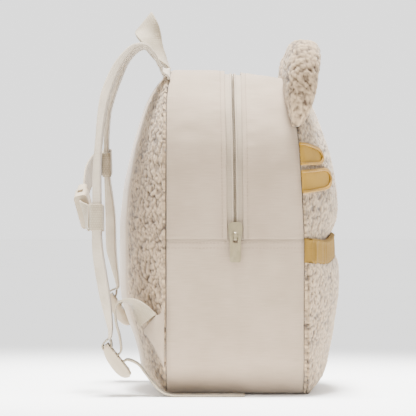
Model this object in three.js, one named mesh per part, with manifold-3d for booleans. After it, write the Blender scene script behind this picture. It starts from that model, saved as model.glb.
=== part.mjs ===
// Kids backpack with a teddy fabric body, round ears, cheek stripes and a gathered front pocket.
// Millimetres, +Z up, +Y towards the wearer's back, the animal face at -Y, the zip slider at -X.
// The origin is the centre of the flat base.
import * as THREE from 'three';
import { mergeVertices } from 'three/addons/utils/BufferGeometryUtils.js';
import Module from 'manifold-3d';

const wasm = await Module();
wasm.setup();

// Main body
const BODY_HEIGHT = 300;
const HALF_WIDTH = 115;
const BASE_RADIUS = 45;
const TOP_RADIUS = 85;
const REAR_DEPTH = 62.4;
const FRONT_DEPTH = 62.4;
const FRONT_DROP = 8;
const CLEARANCE = 0.3;

// Gusset between the two panels
const GUSSET_WALL = 1.6;
const GUSSET_CROWN = 4;
const GUSSET_TOP_CROWN = 2.5;
const GUSSET_SEAM_HEIGHT = 142;

// Zip
const ZIP_OPENING = 15;
// The zip's middle follows this share of the way from the part's middle to the middle between the seams
const ZIP_LEAN = 0.4;
const ZIP_TAPE_LAP = 3.5;
const ZIP_TAPE_THICKNESS = 0.8;
const ZIP_COIL_WIDTH = 6.4;
const ZIP_COIL_HEIGHT = 1.7;
const ZIP_GROOVE = 1.2;
const SLIDER_WIDTH = 12.7;
const SLIDER_LENGTH = 16;
const SLIDER_THICKNESS = 3;
const BAIL_WIDTH = 2.6;
const BAIL_OPENING = 3.2;
const BAIL_WIRE = 1.5;
const PULL_LENGTH = 24.5;
const PULL_WIDTH = 10;
const PULL_THICKNESS = 1.8;
const PULL_BAR = 1.6;
const PULL_CORNER = 2;
const PULL_SIDE_CLEARANCE = 1;

// Panels
const PANEL_RIM = 2;
const BACK_PADDING = 6;
const BACK_BULGE = 45.3;
const FRONT_WALL = 3.6;
const FRONT_BULGE = 36.8;
const PADDING_RAMP = 20;
const DOME_POWER = 2.4;

// Front pocket with its gathered band
const POCKET_HEIGHT = 127;
const POCKET_SIDE_DROP = 7;
const POCKET_WALL = 3.5;
const POCKET_BULGE = 36.4;
const BAND_HEIGHT = 22;
const BAND_WALL = 2;
const BAND_STAND = 1.6;
const BAND_TAPER = 0.6;
const GATHER_DEPTH = 1;
const GATHER_COUNT = 22;

// Ears and cheek stripes
const EAR_START_ANGLE = 26;
const EAR_END_ANGLE = 75;
const EAR_LENGTH = 62;
const EAR_DIRECTION = 60;
const EAR_FLARE = 0.14;
const EAR_FRONT_BULGE = 18;
const EAR_REAR_BULGE = 11;
const EAR_LEAN = 9;
const EAR_RIM = 3;
const EAR_FOOT_SWELL = 0.12;
const STRIPE_THICKNESS = 1.2;
const STRIPE_STAND = 0.6;
const STRIPE_SEAM_INSET = 1;
const STRIPE_ROUND_START = 0.55;
const STRIPE_HEIGHT = 20.5;
// Level as a share of the body's height, length of the half width, and height of STRIPE_HEIGHT
const STRIPES = [
  { name: 'upper', level: 0.738, length: 0.313, height: 0.9, slope: -0.02 },
  { name: 'lower', level: 0.65, length: 0.426, height: 1, slope: 0.05 },
];

// Webbing, handle and straps
const WEBBING_WIDTH = 24;
const WEBBING_THICKNESS = 1.5;
const HANDLE_SPACING = 54;
const HANDLE_HEIGHT = 50;
const HANDLE_SETBACK = 2;
const STRAP_WIDTH = 40;
const STRAP_THICKNESS = 8;
const STRAP_ROOT_ANGLE = 69;
const STRAP_REACH = 64.5;
const STRAP_EDGE = 0.4;
const WING_THICKNESS = 2.4;
const WING_LOW = 26;
const WING_HIGH = 83;
const WING_FLARE = 1.4;
const WING_HOLLOW = 6;

// Ladder locks
const LOCK_THICKNESS = 4.5;
const LOCK_FRAME = 3.2;
const LOCK_END_BAR = 4;
const LOCK_BAR = 3.4;
const LOCK_SLOT = 4.6;
const LOCK_LIP = 7.5;
const LOCK_SIDE_ROOM = 1;
const LOCK_CORNER = 3;

// Chest strap with its side release buckle
const CHEST_LOOP_CLEARANCE = 0.7;
const CHEST_LOOP_CORNER = 2;
const BUCKLE_HEIGHT = 32;
const BUCKLE_THICKNESS = 12;
const BUCKLE_WALL = 2.2;
const BUCKLE_CORNER = 3;
const BUCKLE_SLOT = 4;
const BUCKLE_SLOT_BAR = 1.6;
const BUCKLE_WEBBING_LEAD = 4;
const SOCKET_LENGTH = 30;
const SOCKET_WINDOW = 10;
const PLUG_LENGTH = 19;
const PRONG_LENGTH = 22;
const PRONG_HEIGHT = 4;
const PRONG_CLEARANCE = 0.6;

// Bulges along the height, as shares of the panel's height and of its largest bulge
const BACK_PROFILE = [
  { height: 0, bulge: 0 },
  { height: 0.033, bulge: 0.38 },
  { height: 0.067, bulge: 0.55 },
  { height: 0.113, bulge: 0.59 },
  { height: 0.173, bulge: 0.7 },
  { height: 0.233, bulge: 0.855 },
  { height: 0.28, bulge: 0.95 },
  { height: 0.343, bulge: 1 },
  { height: 0.533, bulge: 1 },
  { height: 0.643, bulge: 0.916 },
  { height: 0.76, bulge: 0.74 },
  { height: 0.877, bulge: 0.5 },
  { height: 0.933, bulge: 0.34 },
  { height: 0.977, bulge: 0.155 },
  { height: 1, bulge: 0 },
];
const FRONT_PROFILE = [
  { height: 0, bulge: 0 },
  { height: 0.034, bulge: 0.22 },
  { height: 0.103, bulge: 0.41 },
  { height: 0.205, bulge: 0.52 },
  { height: 0.428, bulge: 0.6 },
  { height: 0.479, bulge: 0.67 },
  { height: 0.514, bulge: 0.79 },
  { height: 0.531, bulge: 0.89 },
  { height: 0.555, bulge: 0.96 },
  { height: 0.6, bulge: 1 },
  { height: 0.654, bulge: 0.98 },
  { height: 0.733, bulge: 0.913 },
  { height: 0.798, bulge: 0.793 },
  { height: 0.873, bulge: 0.647 },
  { height: 0.918, bulge: 0.535 },
  { height: 0.959, bulge: 0.36 },
  { height: 0.986, bulge: 0.17 },
  { height: 1, bulge: 0 },
];
// Pocket bulge, along shares of its own height
const POCKET_PROFILE = [
  { height: 0, bulge: 0.21 },
  { height: 0.055, bulge: 0.42 },
  { height: 0.12, bulge: 0.58 },
  { height: 0.22, bulge: 0.69 },
  { height: 0.31, bulge: 0.74 },
  { height: 0.41, bulge: 0.82 },
  { height: 0.55, bulge: 0.89 },
  { height: 0.685, bulge: 0.97 },
  { height: 0.835, bulge: 1 },
  { height: 0.95, bulge: 0.975 },
  { height: 1, bulge: 0.89 },
];
// Depth of the two seams along the height, as shares of the body height and of the depth
const REAR_SEAM = [
  { height: 0, depth: 1 },
  { height: 0.9, depth: 1 },
  { height: 0.95, depth: 0.978 },
  { height: 1, depth: 0.945 },
];
const FRONT_SEAM = [
  { height: 0, depth: 1 },
  { height: 0.487, depth: 1 },
  { height: 0.62, depth: 0.971 },
  { height: 0.777, depth: 0.928 },
  { height: 0.88, depth: 0.872 },
  { height: 0.967, depth: 0.822 },
  { height: 1, depth: 0.8 },
];
// Strap routes: across in shares of the half width, back in shares of the strap's reach behind
// the back seam, height in shares of the body height; widths and thicknesses are shares too
const NEAR_SHOULDER = [
  { across: 0.53, back: 0.081, height: 1.003, width: 0.8, thick: 0.36 },
  { across: 0.548, back: 0.188, height: 1.043, width: 0.85, thick: 0.42 },
  { across: 0.565, back: 0.287, height: 1.062, width: 0.9, thick: 0.45 },
  { across: 0.583, back: 0.386, height: 1.068, width: 0.95, thick: 0.5 },
  { across: 0.6, back: 0.499, height: 1.058, width: 1, thick: 0.6 },
  { across: 0.626, back: 0.611, height: 1.034, width: 1, thick: 0.75 },
  { across: 0.652, back: 0.723, height: 0.998, width: 1, thick: 0.9 },
  { across: 0.687, back: 0.82, height: 0.951, width: 1, thick: 0.95 },
  { across: 0.722, back: 0.888, height: 0.902, width: 1, thick: 1 },
  { across: 0.765, back: 0.934, height: 0.84, width: 1, thick: 0.85 },
  { across: 0.8, back: 0.96, height: 0.778, width: 1, thick: 0.7 },
  { across: 0.835, back: 0.978, height: 0.717, width: 1, thick: 0.75 },
  { across: 0.852, back: 0.985, height: 0.656, width: 1, thick: 0.85 },
  { across: 0.87, back: 0.985, height: 0.595, width: 1, thick: 0.9 },
  { across: 0.87, back: 0.985, height: 0.541, width: 1, thick: 0.95 },
  { across: 0.878, back: 0.984, height: 0.495, width: 1, thick: 1 },
  { across: 0.887, back: 0.97, height: 0.44, width: 1, thick: 1.1 },
  { across: 0.887, back: 0.926, height: 0.374, width: 1, thick: 1.15 },
  { across: 0.887, back: 0.872, height: 0.307, width: 0.95, thick: 1.1 },
  { across: 0.878, back: 0.822, height: 0.246, width: 0.85, thick: 0.8 },
  { across: 0.87, back: 0.795, height: 0.206, width: 0.72, thick: 0.5 },
  { across: 0.87, back: 0.799, height: 0.181, width: 0.62, thick: 0.36 },
];
const FAR_SHOULDER = [
  { across: 0.53, back: 0.081, height: 1.003, width: 0.8, thick: 0.36 },
  { across: 0.548, back: 0.188, height: 1.038, width: 0.85, thick: 0.42 },
  { across: 0.575, back: 0.34, height: 1.052, width: 0.92, thick: 0.5 },
  { across: 0.6, back: 0.48, height: 1.044, width: 1, thick: 0.55 },
  { across: 0.64, back: 0.64, height: 1.01, width: 1, thick: 0.6 },
  { across: 0.69, back: 0.8, height: 0.955, width: 1, thick: 0.6 },
  { across: 0.74, back: 0.895, height: 0.91, width: 1, thick: 0.6 },
  { across: 0.765, back: 0.931, height: 0.886, width: 1, thick: 0.6 },
  { across: 0.791, back: 0.956, height: 0.827, width: 1, thick: 0.55 },
  { across: 0.809, back: 0.965, height: 0.778, width: 1, thick: 0.55 },
  { across: 0.826, back: 0.958, height: 0.719, width: 1, thick: 0.55 },
  { across: 0.843, back: 0.95, height: 0.657, width: 1, thick: 0.7 },
  { across: 0.861, back: 0.925, height: 0.597, width: 1, thick: 1 },
  { across: 0.87, back: 0.907, height: 0.545, width: 1, thick: 1.15 },
  { across: 0.878, back: 0.903, height: 0.492, width: 1, thick: 1.2 },
  { across: 0.887, back: 0.892, height: 0.433, width: 1, thick: 1.15 },
  { across: 0.887, back: 0.852, height: 0.383, width: 0.9, thick: 0.8 },
  { across: 0.878, back: 0.81, height: 0.335, width: 0.75, thick: 0.5 },
  { across: 0.87, back: 0.8, height: 0.311, width: 0.62, thick: 0.36 },
];
// Adjuster webbing from the wing to the ladder lock, with the direction of its width
const NEAR_ADJUSTER = [
  { across: 0.922, back: 0.356, height: 0.257, wideX: 0.75, wideY: 0.45, wideZ: -0.48 },
  { across: 0.913, back: 0.469, height: 0.28, wideX: 0.92, wideY: 0.25, wideZ: -0.3 },
  { across: 0.904, back: 0.581, height: 0.289, wideX: 1, wideY: 0.1, wideZ: -0.1 },
  { across: 0.9, back: 0.672, height: 0.286, wideX: 1, wideY: 0, wideZ: 0 },
  { across: 0.896, back: 0.722, height: 0.27, wideX: 1, wideY: 0, wideZ: 0 },
  { across: 0.896, back: 0.725, height: 0.246, wideX: 1, wideY: 0, wideZ: 0 },
  { across: 0.891, back: 0.705, height: 0.216, wideX: 1, wideY: 0, wideZ: 0 },
  { across: 0.883, back: 0.662, height: 0.18, wideX: 1, wideY: 0, wideZ: 0 },
];
const FAR_ADJUSTER = [
  { across: 0.922, back: 0.34, height: 0.248, wideX: 0.75, wideY: 0.45, wideZ: -0.48 },
  { across: 0.91, back: 0.45, height: 0.265, wideX: 0.92, wideY: 0.25, wideZ: -0.3 },
  { across: 0.89, back: 0.58, height: 0.275, wideX: 1, wideY: 0, wideZ: 0 },
];
const NEAR_TAIL = [
  { across: 0.878, back: 0.4, height: 0.097, wideX: 1, wideY: 0, wideZ: 0 },
  { across: 0.885, back: 0.302, height: 0.071, wideX: 1, wideY: 0, wideZ: 0 },
  { across: 0.905, back: 0.19, height: 0.041, wideX: 1, wideY: 0, wideZ: 0 },
  { across: 0.915, back: 0.07, height: 0.016, wideX: 1, wideY: 0, wideZ: 0 },
  { across: 0.915, back: -0.06, height: 0.005, wideX: 1, wideY: 0, wideZ: 0 },
  { across: 0.915, back: -0.25, height: 0.0035, wideX: 1, wideY: 0, wideZ: 0 },
  { across: 0.915, back: -0.6, height: 0.0035, wideX: 1, wideY: 0, wideZ: 0 },
  { across: 0.915, back: -1.1, height: 0.0035, wideX: 1, wideY: 0, wideZ: 0 },
];
const FAR_TAIL = [
  { across: 0.86, back: 0.47, height: 0.2, wideX: 1, wideY: 0, wideZ: 0 },
  { across: 0.85, back: 0.35, height: 0.16, wideX: 1, wideY: 0, wideZ: 0 },
  { across: 0.85, back: 0.28, height: 0.113, wideX: 1, wideY: 0, wideZ: 0 },
  { across: 0.85, back: 0.26, height: 0.067, wideX: 1, wideY: 0, wideZ: 0 },
];
const LOCKS = {
  near: { across: 0.87, back: 0.684, height: 0.109, fallBack: -0.624, fallDown: -0.781 },
  far: { across: 0.87, back: 0.749, height: 0.239, fallBack: -0.576, fallDown: -0.817 },
};
// Chest webbing from its loop on each shoulder strap to the buckle
const CHEST_LOOPS = { near: 0.541, far: 0.719 };
const CHEST_BUCKLE = { across: -0.34, back: 1.2, height: 0.578, rise: 0.24, lean: 0.25 };
const FAR_CHEST = [
  { across: 0.02, back: 1.215, height: 0.63 },
  { across: 0.2, back: 1.2, height: 0.665 },
  { across: 0.4, back: 1.155, height: 0.692 },
  { across: 0.56, back: 1.1, height: 0.71 },
];
// Webbing wrapped through the ladder lock, in shares of the reach to a slot and of the drop past a face
const LOCK_WRAP = [
  { along: 1.15, over: 1.8 },
  { along: 1, over: 0.4 },
  { along: 0.97, over: -0.4 },
  { along: 0.7, over: -0.9 },
  { along: 0, over: -1.08 },
  { along: -0.7, over: -0.9 },
  { along: -0.97, over: -0.4 },
  { along: -1, over: 0.4 },
  { along: -1.15, over: 1.8 },
];
// Slider outline on one side, in shares of its width and length
const SLIDER_OUTLINE = [
  { across: 0.39, along: 0 },
  { across: 0.5, along: 0.55 },
  { across: 0.5, along: 0.8 },
  { across: 0.3, along: 1 },
];
// Half of the handle, in shares of its half spacing and its height; turn swings its width to face back
const HANDLE_ROUTE = [
  { across: 1, back: 0, rise: 0, turn: 0 },
  { across: 1, back: 0.01, rise: 0.06, turn: 0.05 },
  { across: 0.98, back: 0.09, rise: 0.15, turn: 0.3 },
  { across: 0.9, back: 0.2, rise: 0.36, turn: 0.75 },
  { across: 0.74, back: 0.3, rise: 0.6, turn: 0.95 },
  { across: 0.42, back: 0.38, rise: 0.86, turn: 1 },
  { across: 0, back: 0.4, rise: 1, turn: 1 },
];

const BACK_SHAPE = {
  halfWidth: HALF_WIDTH, height: BODY_HEIGHT, baseRadius: BASE_RADIUS, topRadius: TOP_RADIUS,
};
const FRONT_SHAPE = {
  halfWidth: HALF_WIDTH, height: BODY_HEIGHT - FRONT_DROP, baseRadius: BASE_RADIUS, topRadius: TOP_RADIUS,
};

// Numbers
const lerp = THREE.MathUtils.lerp;
const radians = THREE.MathUtils.degToRad;
const vector = (x, y, z) => new THREE.Vector3(x, y, z);

function tableAt(rows, key, place) {
  const next = rows.findIndex((row) => row.height >= place);
  if (next <= 0) return next === 0 ? rows[0][key] : rows.at(-1)[key];
  const low = rows[next - 1];
  const high = rows[next];
  return lerp(low[key], high[key], (place - low.height) / (high.height - low.height));
}

function smooth(share) {
  const held = THREE.MathUtils.clamp(share, 0, 1);
  return held * held * (3 - 2 * held);
}

const shares = (count) => Array.from({ length: count + 1 }, (_, index) => index / count);

// Solids
function closedGeometry(points, faces) {
  const geometry = new THREE.BufferGeometry();
  const numbers = points.flatMap((point) => point.toArray());
  geometry.setAttribute('position', new THREE.Float32BufferAttribute(numbers, 3));
  let volume = 0;
  for (let i = 0; i < faces.length; i += 3) {
    const [a, b, c] = [points[faces[i]], points[faces[i + 1]], points[faces[i + 2]]];
    volume += a.dot(b.clone().cross(c));
  }
  const outward = [];
  for (let i = 0; i < faces.length; i += 3) {
    if (volume > 0) outward.push(faces[i], faces[i + 1], faces[i + 2]);
    else outward.push(faces[i], faces[i + 2], faces[i + 1]);
  }
  geometry.setIndex(outward);
  geometry.computeVertexNormals();
  return geometry;
}

// Closes the space between two sheets of points, given row by row; a looped sheet has no end rows
function sheetSolid(front, back, looped = false) {
  const rows = front.length;
  const columns = front[0].length;
  const at = (sheet, row, column) => (sheet * rows + (row % rows)) * columns + column;
  const faces = [];
  const quad = (a, b, c, d) => faces.push(a, b, c, a, c, d);
  for (let row = 0; row < (looped ? rows : rows - 1); row++) {
    const up = row + 1;
    for (let column = 0; column < columns - 1; column++) {
      const side = column + 1;
      quad(at(0, row, column), at(0, up, column), at(0, up, side), at(0, row, side));
      quad(at(1, row, column), at(1, row, side), at(1, up, side), at(1, up, column));
    }
    const last = columns - 1;
    quad(at(0, up, 0), at(0, row, 0), at(1, row, 0), at(1, up, 0));
    quad(at(0, row, last), at(0, up, last), at(1, up, last), at(1, row, last));
  }
  if (!looped) {
    const end = rows - 1;
    for (let column = 0; column < columns - 1; column++) {
      const side = column + 1;
      quad(at(0, 0, column), at(0, 0, side), at(1, 0, side), at(1, 0, column));
      quad(at(0, end, side), at(0, end, column), at(1, end, column), at(1, end, side));
    }
  }
  return closedGeometry([...front.flat(), ...back.flat()], faces);
}

function toManifold(geometry) {
  const bare = geometry.clone();
  bare.deleteAttribute('normal');
  bare.deleteAttribute('uv');
  const merged = mergeVertices(bare, 1e-4);
  return new wasm.Manifold(new wasm.Mesh({
    numProp: 3,
    vertProperties: new Float32Array(merged.attributes.position.array),
    triVerts: new Uint32Array(merged.index.array),
  }));
}

function fromManifold(solid) {
  const mesh = solid.getMesh();
  const geometry = new THREE.BufferGeometry();
  geometry.setAttribute('position', new THREE.Float32BufferAttribute(mesh.vertProperties, 3));
  geometry.setIndex(Array.from(mesh.triVerts));
  geometry.computeVertexNormals();
  return geometry;
}

const joined = (parts) => fromManifold(parts.map(toManifold).reduce((sum, part) => sum.add(part)));
const cut = (body, tools) => fromManifold(
  tools.map(toManifold).reduce((left, tool) => left.subtract(tool), toManifold(body)),
);

function roundedShape(width, height, radius, Kind = THREE.Shape) {
  const outline = new Kind();
  const [x, y] = [width / 2, height / 2];
  outline.moveTo(-x + radius, -y);
  outline.lineTo(x - radius, -y);
  outline.absarc(x - radius, -y + radius, radius, -Math.PI / 2, 0, false);
  outline.lineTo(x, y - radius);
  outline.absarc(x - radius, y - radius, radius, 0, Math.PI / 2, false);
  outline.lineTo(-x + radius, y);
  outline.absarc(-x + radius, y - radius, radius, Math.PI / 2, Math.PI, false);
  outline.lineTo(-x, -y + radius);
  outline.absarc(-x + radius, -y + radius, radius, Math.PI, Math.PI * 1.5, false);
  return outline;
}

// An extrusion centred on its own thickness
function slab(shape, thickness) {
  const settings = { depth: thickness, bevelEnabled: false, curveSegments: 2 };
  return new THREE.ExtrudeGeometry(shape, settings).translate(0, 0, -thickness / 2);
}

// Outline of the body seen from the front, by named parts from the base's middle to the top's middle
function outlinePoint(shape, part, share) {
  const { halfWidth, height, baseRadius, topRadius } = shape;
  const flatBase = halfWidth - baseRadius;
  const flatTop = halfWidth - topRadius;
  if (part === 'base') return { x: flatBase * share, z: 0, normalX: 0, normalZ: -1 };
  if (part === 'top') return { x: flatTop * (1 - share), z: height, normalX: 0, normalZ: 1 };
  if (part === 'low side') {
    return { x: halfWidth, z: lerp(baseRadius, GUSSET_SEAM_HEIGHT, share), normalX: 1, normalZ: 0 };
  }
  if (part === 'high side') {
    return { x: halfWidth, z: lerp(GUSSET_SEAM_HEIGHT, height - topRadius, share), normalX: 1, normalZ: 0 };
  }
  const low = part === 'base corner';
  const radius = low ? baseRadius : topRadius;
  const angle = radians(90) * (low ? share - 1 : share);
  return {
    x: (low ? flatBase : flatTop) + radius * Math.cos(angle),
    z: (low ? baseRadius : height - topRadius) + radius * Math.sin(angle),
    normalX: Math.cos(angle),
    normalZ: Math.sin(angle),
  };
}

function halfWidthAt(shape, z) {
  const { halfWidth, height, baseRadius, topRadius } = shape;
  const below = Math.max(0, baseRadius - z);
  const above = Math.max(0, z - height + topRadius);
  const lowInset = baseRadius - Math.sqrt(Math.max(0, baseRadius ** 2 - below ** 2));
  const highInset = topRadius - Math.sqrt(Math.max(0, topRadius ** 2 - above ** 2));
  return halfWidth - lowInset - highInset;
}

const rearSeam = (z) => REAR_DEPTH * tableAt(REAR_SEAM, 'depth', z / BACK_SHAPE.height);
const frontSeam = (z) => FRONT_DEPTH * tableAt(FRONT_SEAM, 'depth', z / FRONT_SHAPE.height);

// Gusset
function crownAt(z) {
  const rising = smooth(z / (BASE_RADIUS * 1.5));
  const topping = smooth((z - BODY_HEIGHT + TOP_RADIUS) / TOP_RADIUS);
  return rising * lerp(GUSSET_CROWN, GUSSET_TOP_CROWN, topping);
}

function gussetStation(side, part, share) {
  const rear = outlinePoint(BACK_SHAPE, part, share);
  const front = outlinePoint(FRONT_SHAPE, part, share);
  const rearY = rearSeam(rear.z);
  const frontY = -frontSeam(front.z);
  const depth = rearY - frontY;
  const zipAt = (rearY - ZIP_LEAN * (rearY + frontY) / 2) / depth;
  const point = (forward, out) => {
    const lift = out + crownAt(rear.z) * (1 - (2 * forward - 1) ** 2);
    return vector(
      side * (lerp(rear.x, front.x, forward) + rear.normalX * lift),
      lerp(rearY, frontY, forward),
      lerp(rear.z, front.z, forward) + rear.normalZ * lift,
    );
  };
  return { depth, point, zipAt };
}

function stationsOnBothSides(parts) {
  const half = (side) => parts.flatMap(([part, count]) => (
    shares(count).slice(1).map((share) => gussetStation(side, part, share))
  ));
  const start = (side) => gussetStation(side, parts[0][0], 0);
  return [start(-1), ...half(-1)].reverse().concat(half(1));
}

const LOWER_STATIONS = stationsOnBothSides([['base', 1], ['base corner', 6], ['low side', 3]]);
const UPPER_HALF = [['high side', 2], ['top corner', 8], ['top', 1]];

function upperStations() {
  const half = (side) => [
    gussetStation(side, 'high side', CLEARANCE / (BODY_HEIGHT - TOP_RADIUS - GUSSET_SEAM_HEIGHT)),
    ...UPPER_HALF.flatMap(([part, count]) => (
      shares(count).slice(1).map((share) => gussetStation(side, part, share))
    )),
  ];
  return half(-1).concat(half(1).reverse().slice(1));
}

function gussetStrip(stations, forwardShares) {
  const sheet = (out) => stations.map((station) => (
    forwardShares(station).map((forward) => station.point(forward, out))
  ));
  return sheetSolid(sheet(0), sheet(-GUSSET_WALL));
}

function gussetBottom() {
  return gussetStrip(LOWER_STATIONS, () => shares(6));
}

function gussetArch(rear) {
  const seam = rear ? 0 : 1;
  const toSeam = rear ? -1 : 1;
  return gussetStrip(upperStations(), ({ depth, zipAt }) => {
    const edge = zipAt + toSeam * ZIP_OPENING / 2 / depth;
    return shares(3).map((share) => lerp(seam, edge, share));
  });
}

// Zip
function zipChain() {
  const tapeHalf = ZIP_OPENING / 2 + ZIP_TAPE_LAP;
  const coilHalf = ZIP_COIL_WIDTH / 2;
  const tapeTop = -GUSSET_WALL - CLEARANCE;
  const coilTop = tapeTop + ZIP_COIL_HEIGHT;
  const section = [
    { from: -tapeHalf, top: tapeTop },
    { from: -coilHalf, top: tapeTop },
    { from: -ZIP_GROOVE / 2, top: coilTop },
    { from: 0, top: coilTop - ZIP_GROOVE / 2 },
    { from: ZIP_GROOVE / 2, top: coilTop },
    { from: coilHalf, top: tapeTop },
    { from: tapeHalf, top: tapeTop },
  ];
  const sheet = (height) => upperStations().map((station) => (
    section.map((point) => station.point(station.zipAt + point.from / station.depth, height(point)))
  ));
  return sheetSolid(sheet((point) => point.top), sheet(() => tapeTop - ZIP_TAPE_THICKNESS));
}

const ZIP_FACE = HALF_WIDTH + GUSSET_CROWN;
const SLIDER_BASE = ZIP_FACE - GUSSET_WALL + ZIP_COIL_HEIGHT;
const SLIDER_LOW = GUSSET_SEAM_HEIGHT + 2 * CLEARANCE;
const PIVOT_OUT = SLIDER_BASE + SLIDER_THICKNESS + BAIL_OPENING / 2;
const PIVOT_HEIGHT = SLIDER_LOW + BAIL_OPENING;
const ZIP_CENTRE_Y = (REAR_DEPTH - FRONT_DEPTH) / 2;

// Turns a slab drawn flat, x across and y up, to stand on the near side and face outwards
function onNearSide(geometry, out, height) {
  return geometry.rotateX(Math.PI / 2).rotateZ(-Math.PI / 2).translate(-out, ZIP_CENTRE_Y, height);
}

function sliderBody() {
  const half = (side) => SLIDER_OUTLINE.map(({ across, along }) => (
    new THREE.Vector2(side * across * SLIDER_WIDTH, along * SLIDER_LENGTH)
  ));
  const shape = new THREE.Shape([...half(1), ...half(-1).reverse()]);
  return onNearSide(slab(shape, SLIDER_THICKNESS), SLIDER_BASE + SLIDER_THICKNESS / 2, SLIDER_LOW);
}

function sliderBail() {
  const height = BAIL_OPENING + BAIL_WIRE + SLIDER_THICKNESS / 2;
  const length = BAIL_OPENING * 1.4 + 2 * BAIL_WIRE;
  const bridge = roundedShape(length, height, BAIL_WIRE * 0.8);
  const window = roundedShape(BAIL_OPENING * 1.4, BAIL_OPENING, BAIL_WIRE * 0.3, THREE.Path);
  const shift = (height - BAIL_OPENING) / 2 - BAIL_WIRE;
  window.curves.forEach((curve) => {
    for (const key of ['v1', 'v2']) if (curve[key]) curve[key].y += shift;
    if (curve.aY !== undefined) curve.aY += shift;
  });
  bridge.holes.push(window);
  const geometry = slab(bridge, BAIL_WIDTH).rotateX(Math.PI / 2).rotateY(-Math.PI / 2);
  const middle = SLIDER_BASE + SLIDER_THICKNESS / 2 + height / 2;
  return geometry.translate(-middle, ZIP_CENTRE_Y, PIVOT_HEIGHT);
}

function zipPull() {
  const holeWidth = BAIL_WIDTH + 2 * PULL_SIDE_CLEARANCE;
  const holeHeight = BAIL_OPENING * 0.7 + BAIL_WIRE + PULL_BAR;
  const plate = slab(roundedShape(PULL_WIDTH, PULL_LENGTH, PULL_CORNER), PULL_THICKNESS)
    .translate(0, PULL_BAR / 2 - PULL_LENGTH / 2, 0);
  const hole = slab(roundedShape(holeWidth, holeHeight, PULL_CORNER * 0.3), PULL_THICKNESS * 2)
    .translate(0, -PULL_BAR / 2 - holeHeight / 2, 0);
  return onNearSide(cut(plate, [hole]), PIVOT_OUT, PIVOT_HEIGHT);
}

// Domed panels
function rowHeights(shape) {
  const { height, baseRadius, topRadius } = shape;
  const low = shares(5).map((share) => baseRadius * (1 - Math.cos(radians(90) * share)));
  const side = shares(7).slice(1).map((share) => lerp(baseRadius, height - topRadius, share));
  const high = shares(7).slice(1).map((share) => (
    height - topRadius * (1 - Math.sin(radians(90) * share))
  ));
  return [...low, ...side, ...high];
}

const ACROSS = shares(12).map((share) => Math.sin(radians(90) * (2 * share - 1)));

function domed(shape, seam, stand, bulge, x, z) {
  const across = Math.min(1, Math.abs(x) / halfWidthAt(shape, z));
  return seam(z) + stand + Math.max(0, bulge - stand) * (1 - across ** DOME_POWER);
}

const BACK_STAND = CLEARANCE + PANEL_RIM;
const backBulge = (z) => BACK_BULGE * tableAt(BACK_PROFILE, 'bulge', z / BACK_SHAPE.height);
const backOuter = (x, z) => domed(BACK_SHAPE, rearSeam, BACK_STAND, backBulge(z), x, z);
const frontBulge = (z) => FRONT_BULGE * tableAt(FRONT_PROFILE, 'bulge', z / FRONT_SHAPE.height);
const frontOuter = (x, z) => domed(FRONT_SHAPE, frontSeam, BACK_STAND, frontBulge(z), x, z);

function paddedWall(shape, wall, x, z) {
  const inset = Math.min(z, shape.height - z, halfWidthAt(shape, z) - Math.abs(x));
  return lerp(PANEL_RIM, wall, smooth(inset / PADDING_RAMP));
}

function domedPanel(shape, outer, wall, side) {
  const sheet = (depth) => rowHeights(shape).map((z) => ACROSS.map((share) => {
    const x = share * halfWidthAt(shape, z);
    return vector(x, side * depth(x, z), z);
  }));
  return sheetSolid(sheet(outer), sheet((x, z) => outer(x, z) - paddedWall(shape, wall, x, z)));
}

const backPanel = () => domedPanel(BACK_SHAPE, backOuter, BACK_PADDING, 1);
const frontPanel = () => domedPanel(FRONT_SHAPE, frontOuter, FRONT_WALL, -1);

// Front pocket
const POCKET_STAND = 2 * (CLEARANCE + PANEL_RIM);
const POCKET_ROWS = [0, 0.05, 0.11, 0.19, 0.28, 0.4, 0.53, 0.67, 0.82, 0.92, 1];
const mouthHeight = (across) => POCKET_HEIGHT - POCKET_SIDE_DROP * across ** 2;

function pocket() {
  const sheet = (inner) => POCKET_ROWS.map((row) => ACROSS.map((across) => {
    const z = row * mouthHeight(across);
    const x = across * halfWidthAt(FRONT_SHAPE, z);
    const bulge = POCKET_BULGE * tableAt(POCKET_PROFILE, 'bulge', row);
    const outer = domed(FRONT_SHAPE, frontSeam, POCKET_STAND, bulge, x, z);
    return vector(x, -(outer - (inner ? paddedWall(FRONT_SHAPE, POCKET_WALL, x, z) : 0)), z);
  }));
  return sheetSolid(sheet(false), sheet(true));
}

function pocketBand() {
  const columns = shares(GATHER_COUNT * 3);
  const rows = [{ up: 0, fullness: 0.5 }, { up: 0.5, fullness: 1 }, { up: 1, fullness: 0.7 }];
  const sheet = (wall) => rows.map(({ up, fullness }) => columns.map((share, index) => {
    const across = Math.sin(radians(90) * (2 * share - 1) * 0.999);
    const z = mouthHeight(across) + CLEARANCE + up * (BAND_HEIGHT - CLEARANCE);
    const x = across * halfWidthAt(FRONT_SHAPE, z);
    const gather = index % 3 === 1 ? GATHER_DEPTH * fullness : 0;
    const top = frontOuter(0, mouthHeight(0) + BAND_HEIGHT) - frontSeam(mouthHeight(0) + BAND_HEIGHT);
    const bulge = top + CLEARANCE + BAND_WALL + BAND_STAND * (1 - up * BAND_TAPER);
    const outer = domed(FRONT_SHAPE, frontSeam, POCKET_STAND, bulge, x, z) + gather;
    return vector(x, -(outer - wall), z);
  }));
  return sheetSolid(sheet(0), sheet(BAND_WALL));
}

// Ears, sewn along the front seam's top corner
function earPoint(angle, stand) {
  const radius = TOP_RADIUS + stand;
  return new THREE.Vector2(
    HALF_WIDTH - TOP_RADIUS + radius * Math.cos(radians(angle)),
    FRONT_SHAPE.height - TOP_RADIUS + radius * Math.sin(radians(angle)),
  );
}

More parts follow.
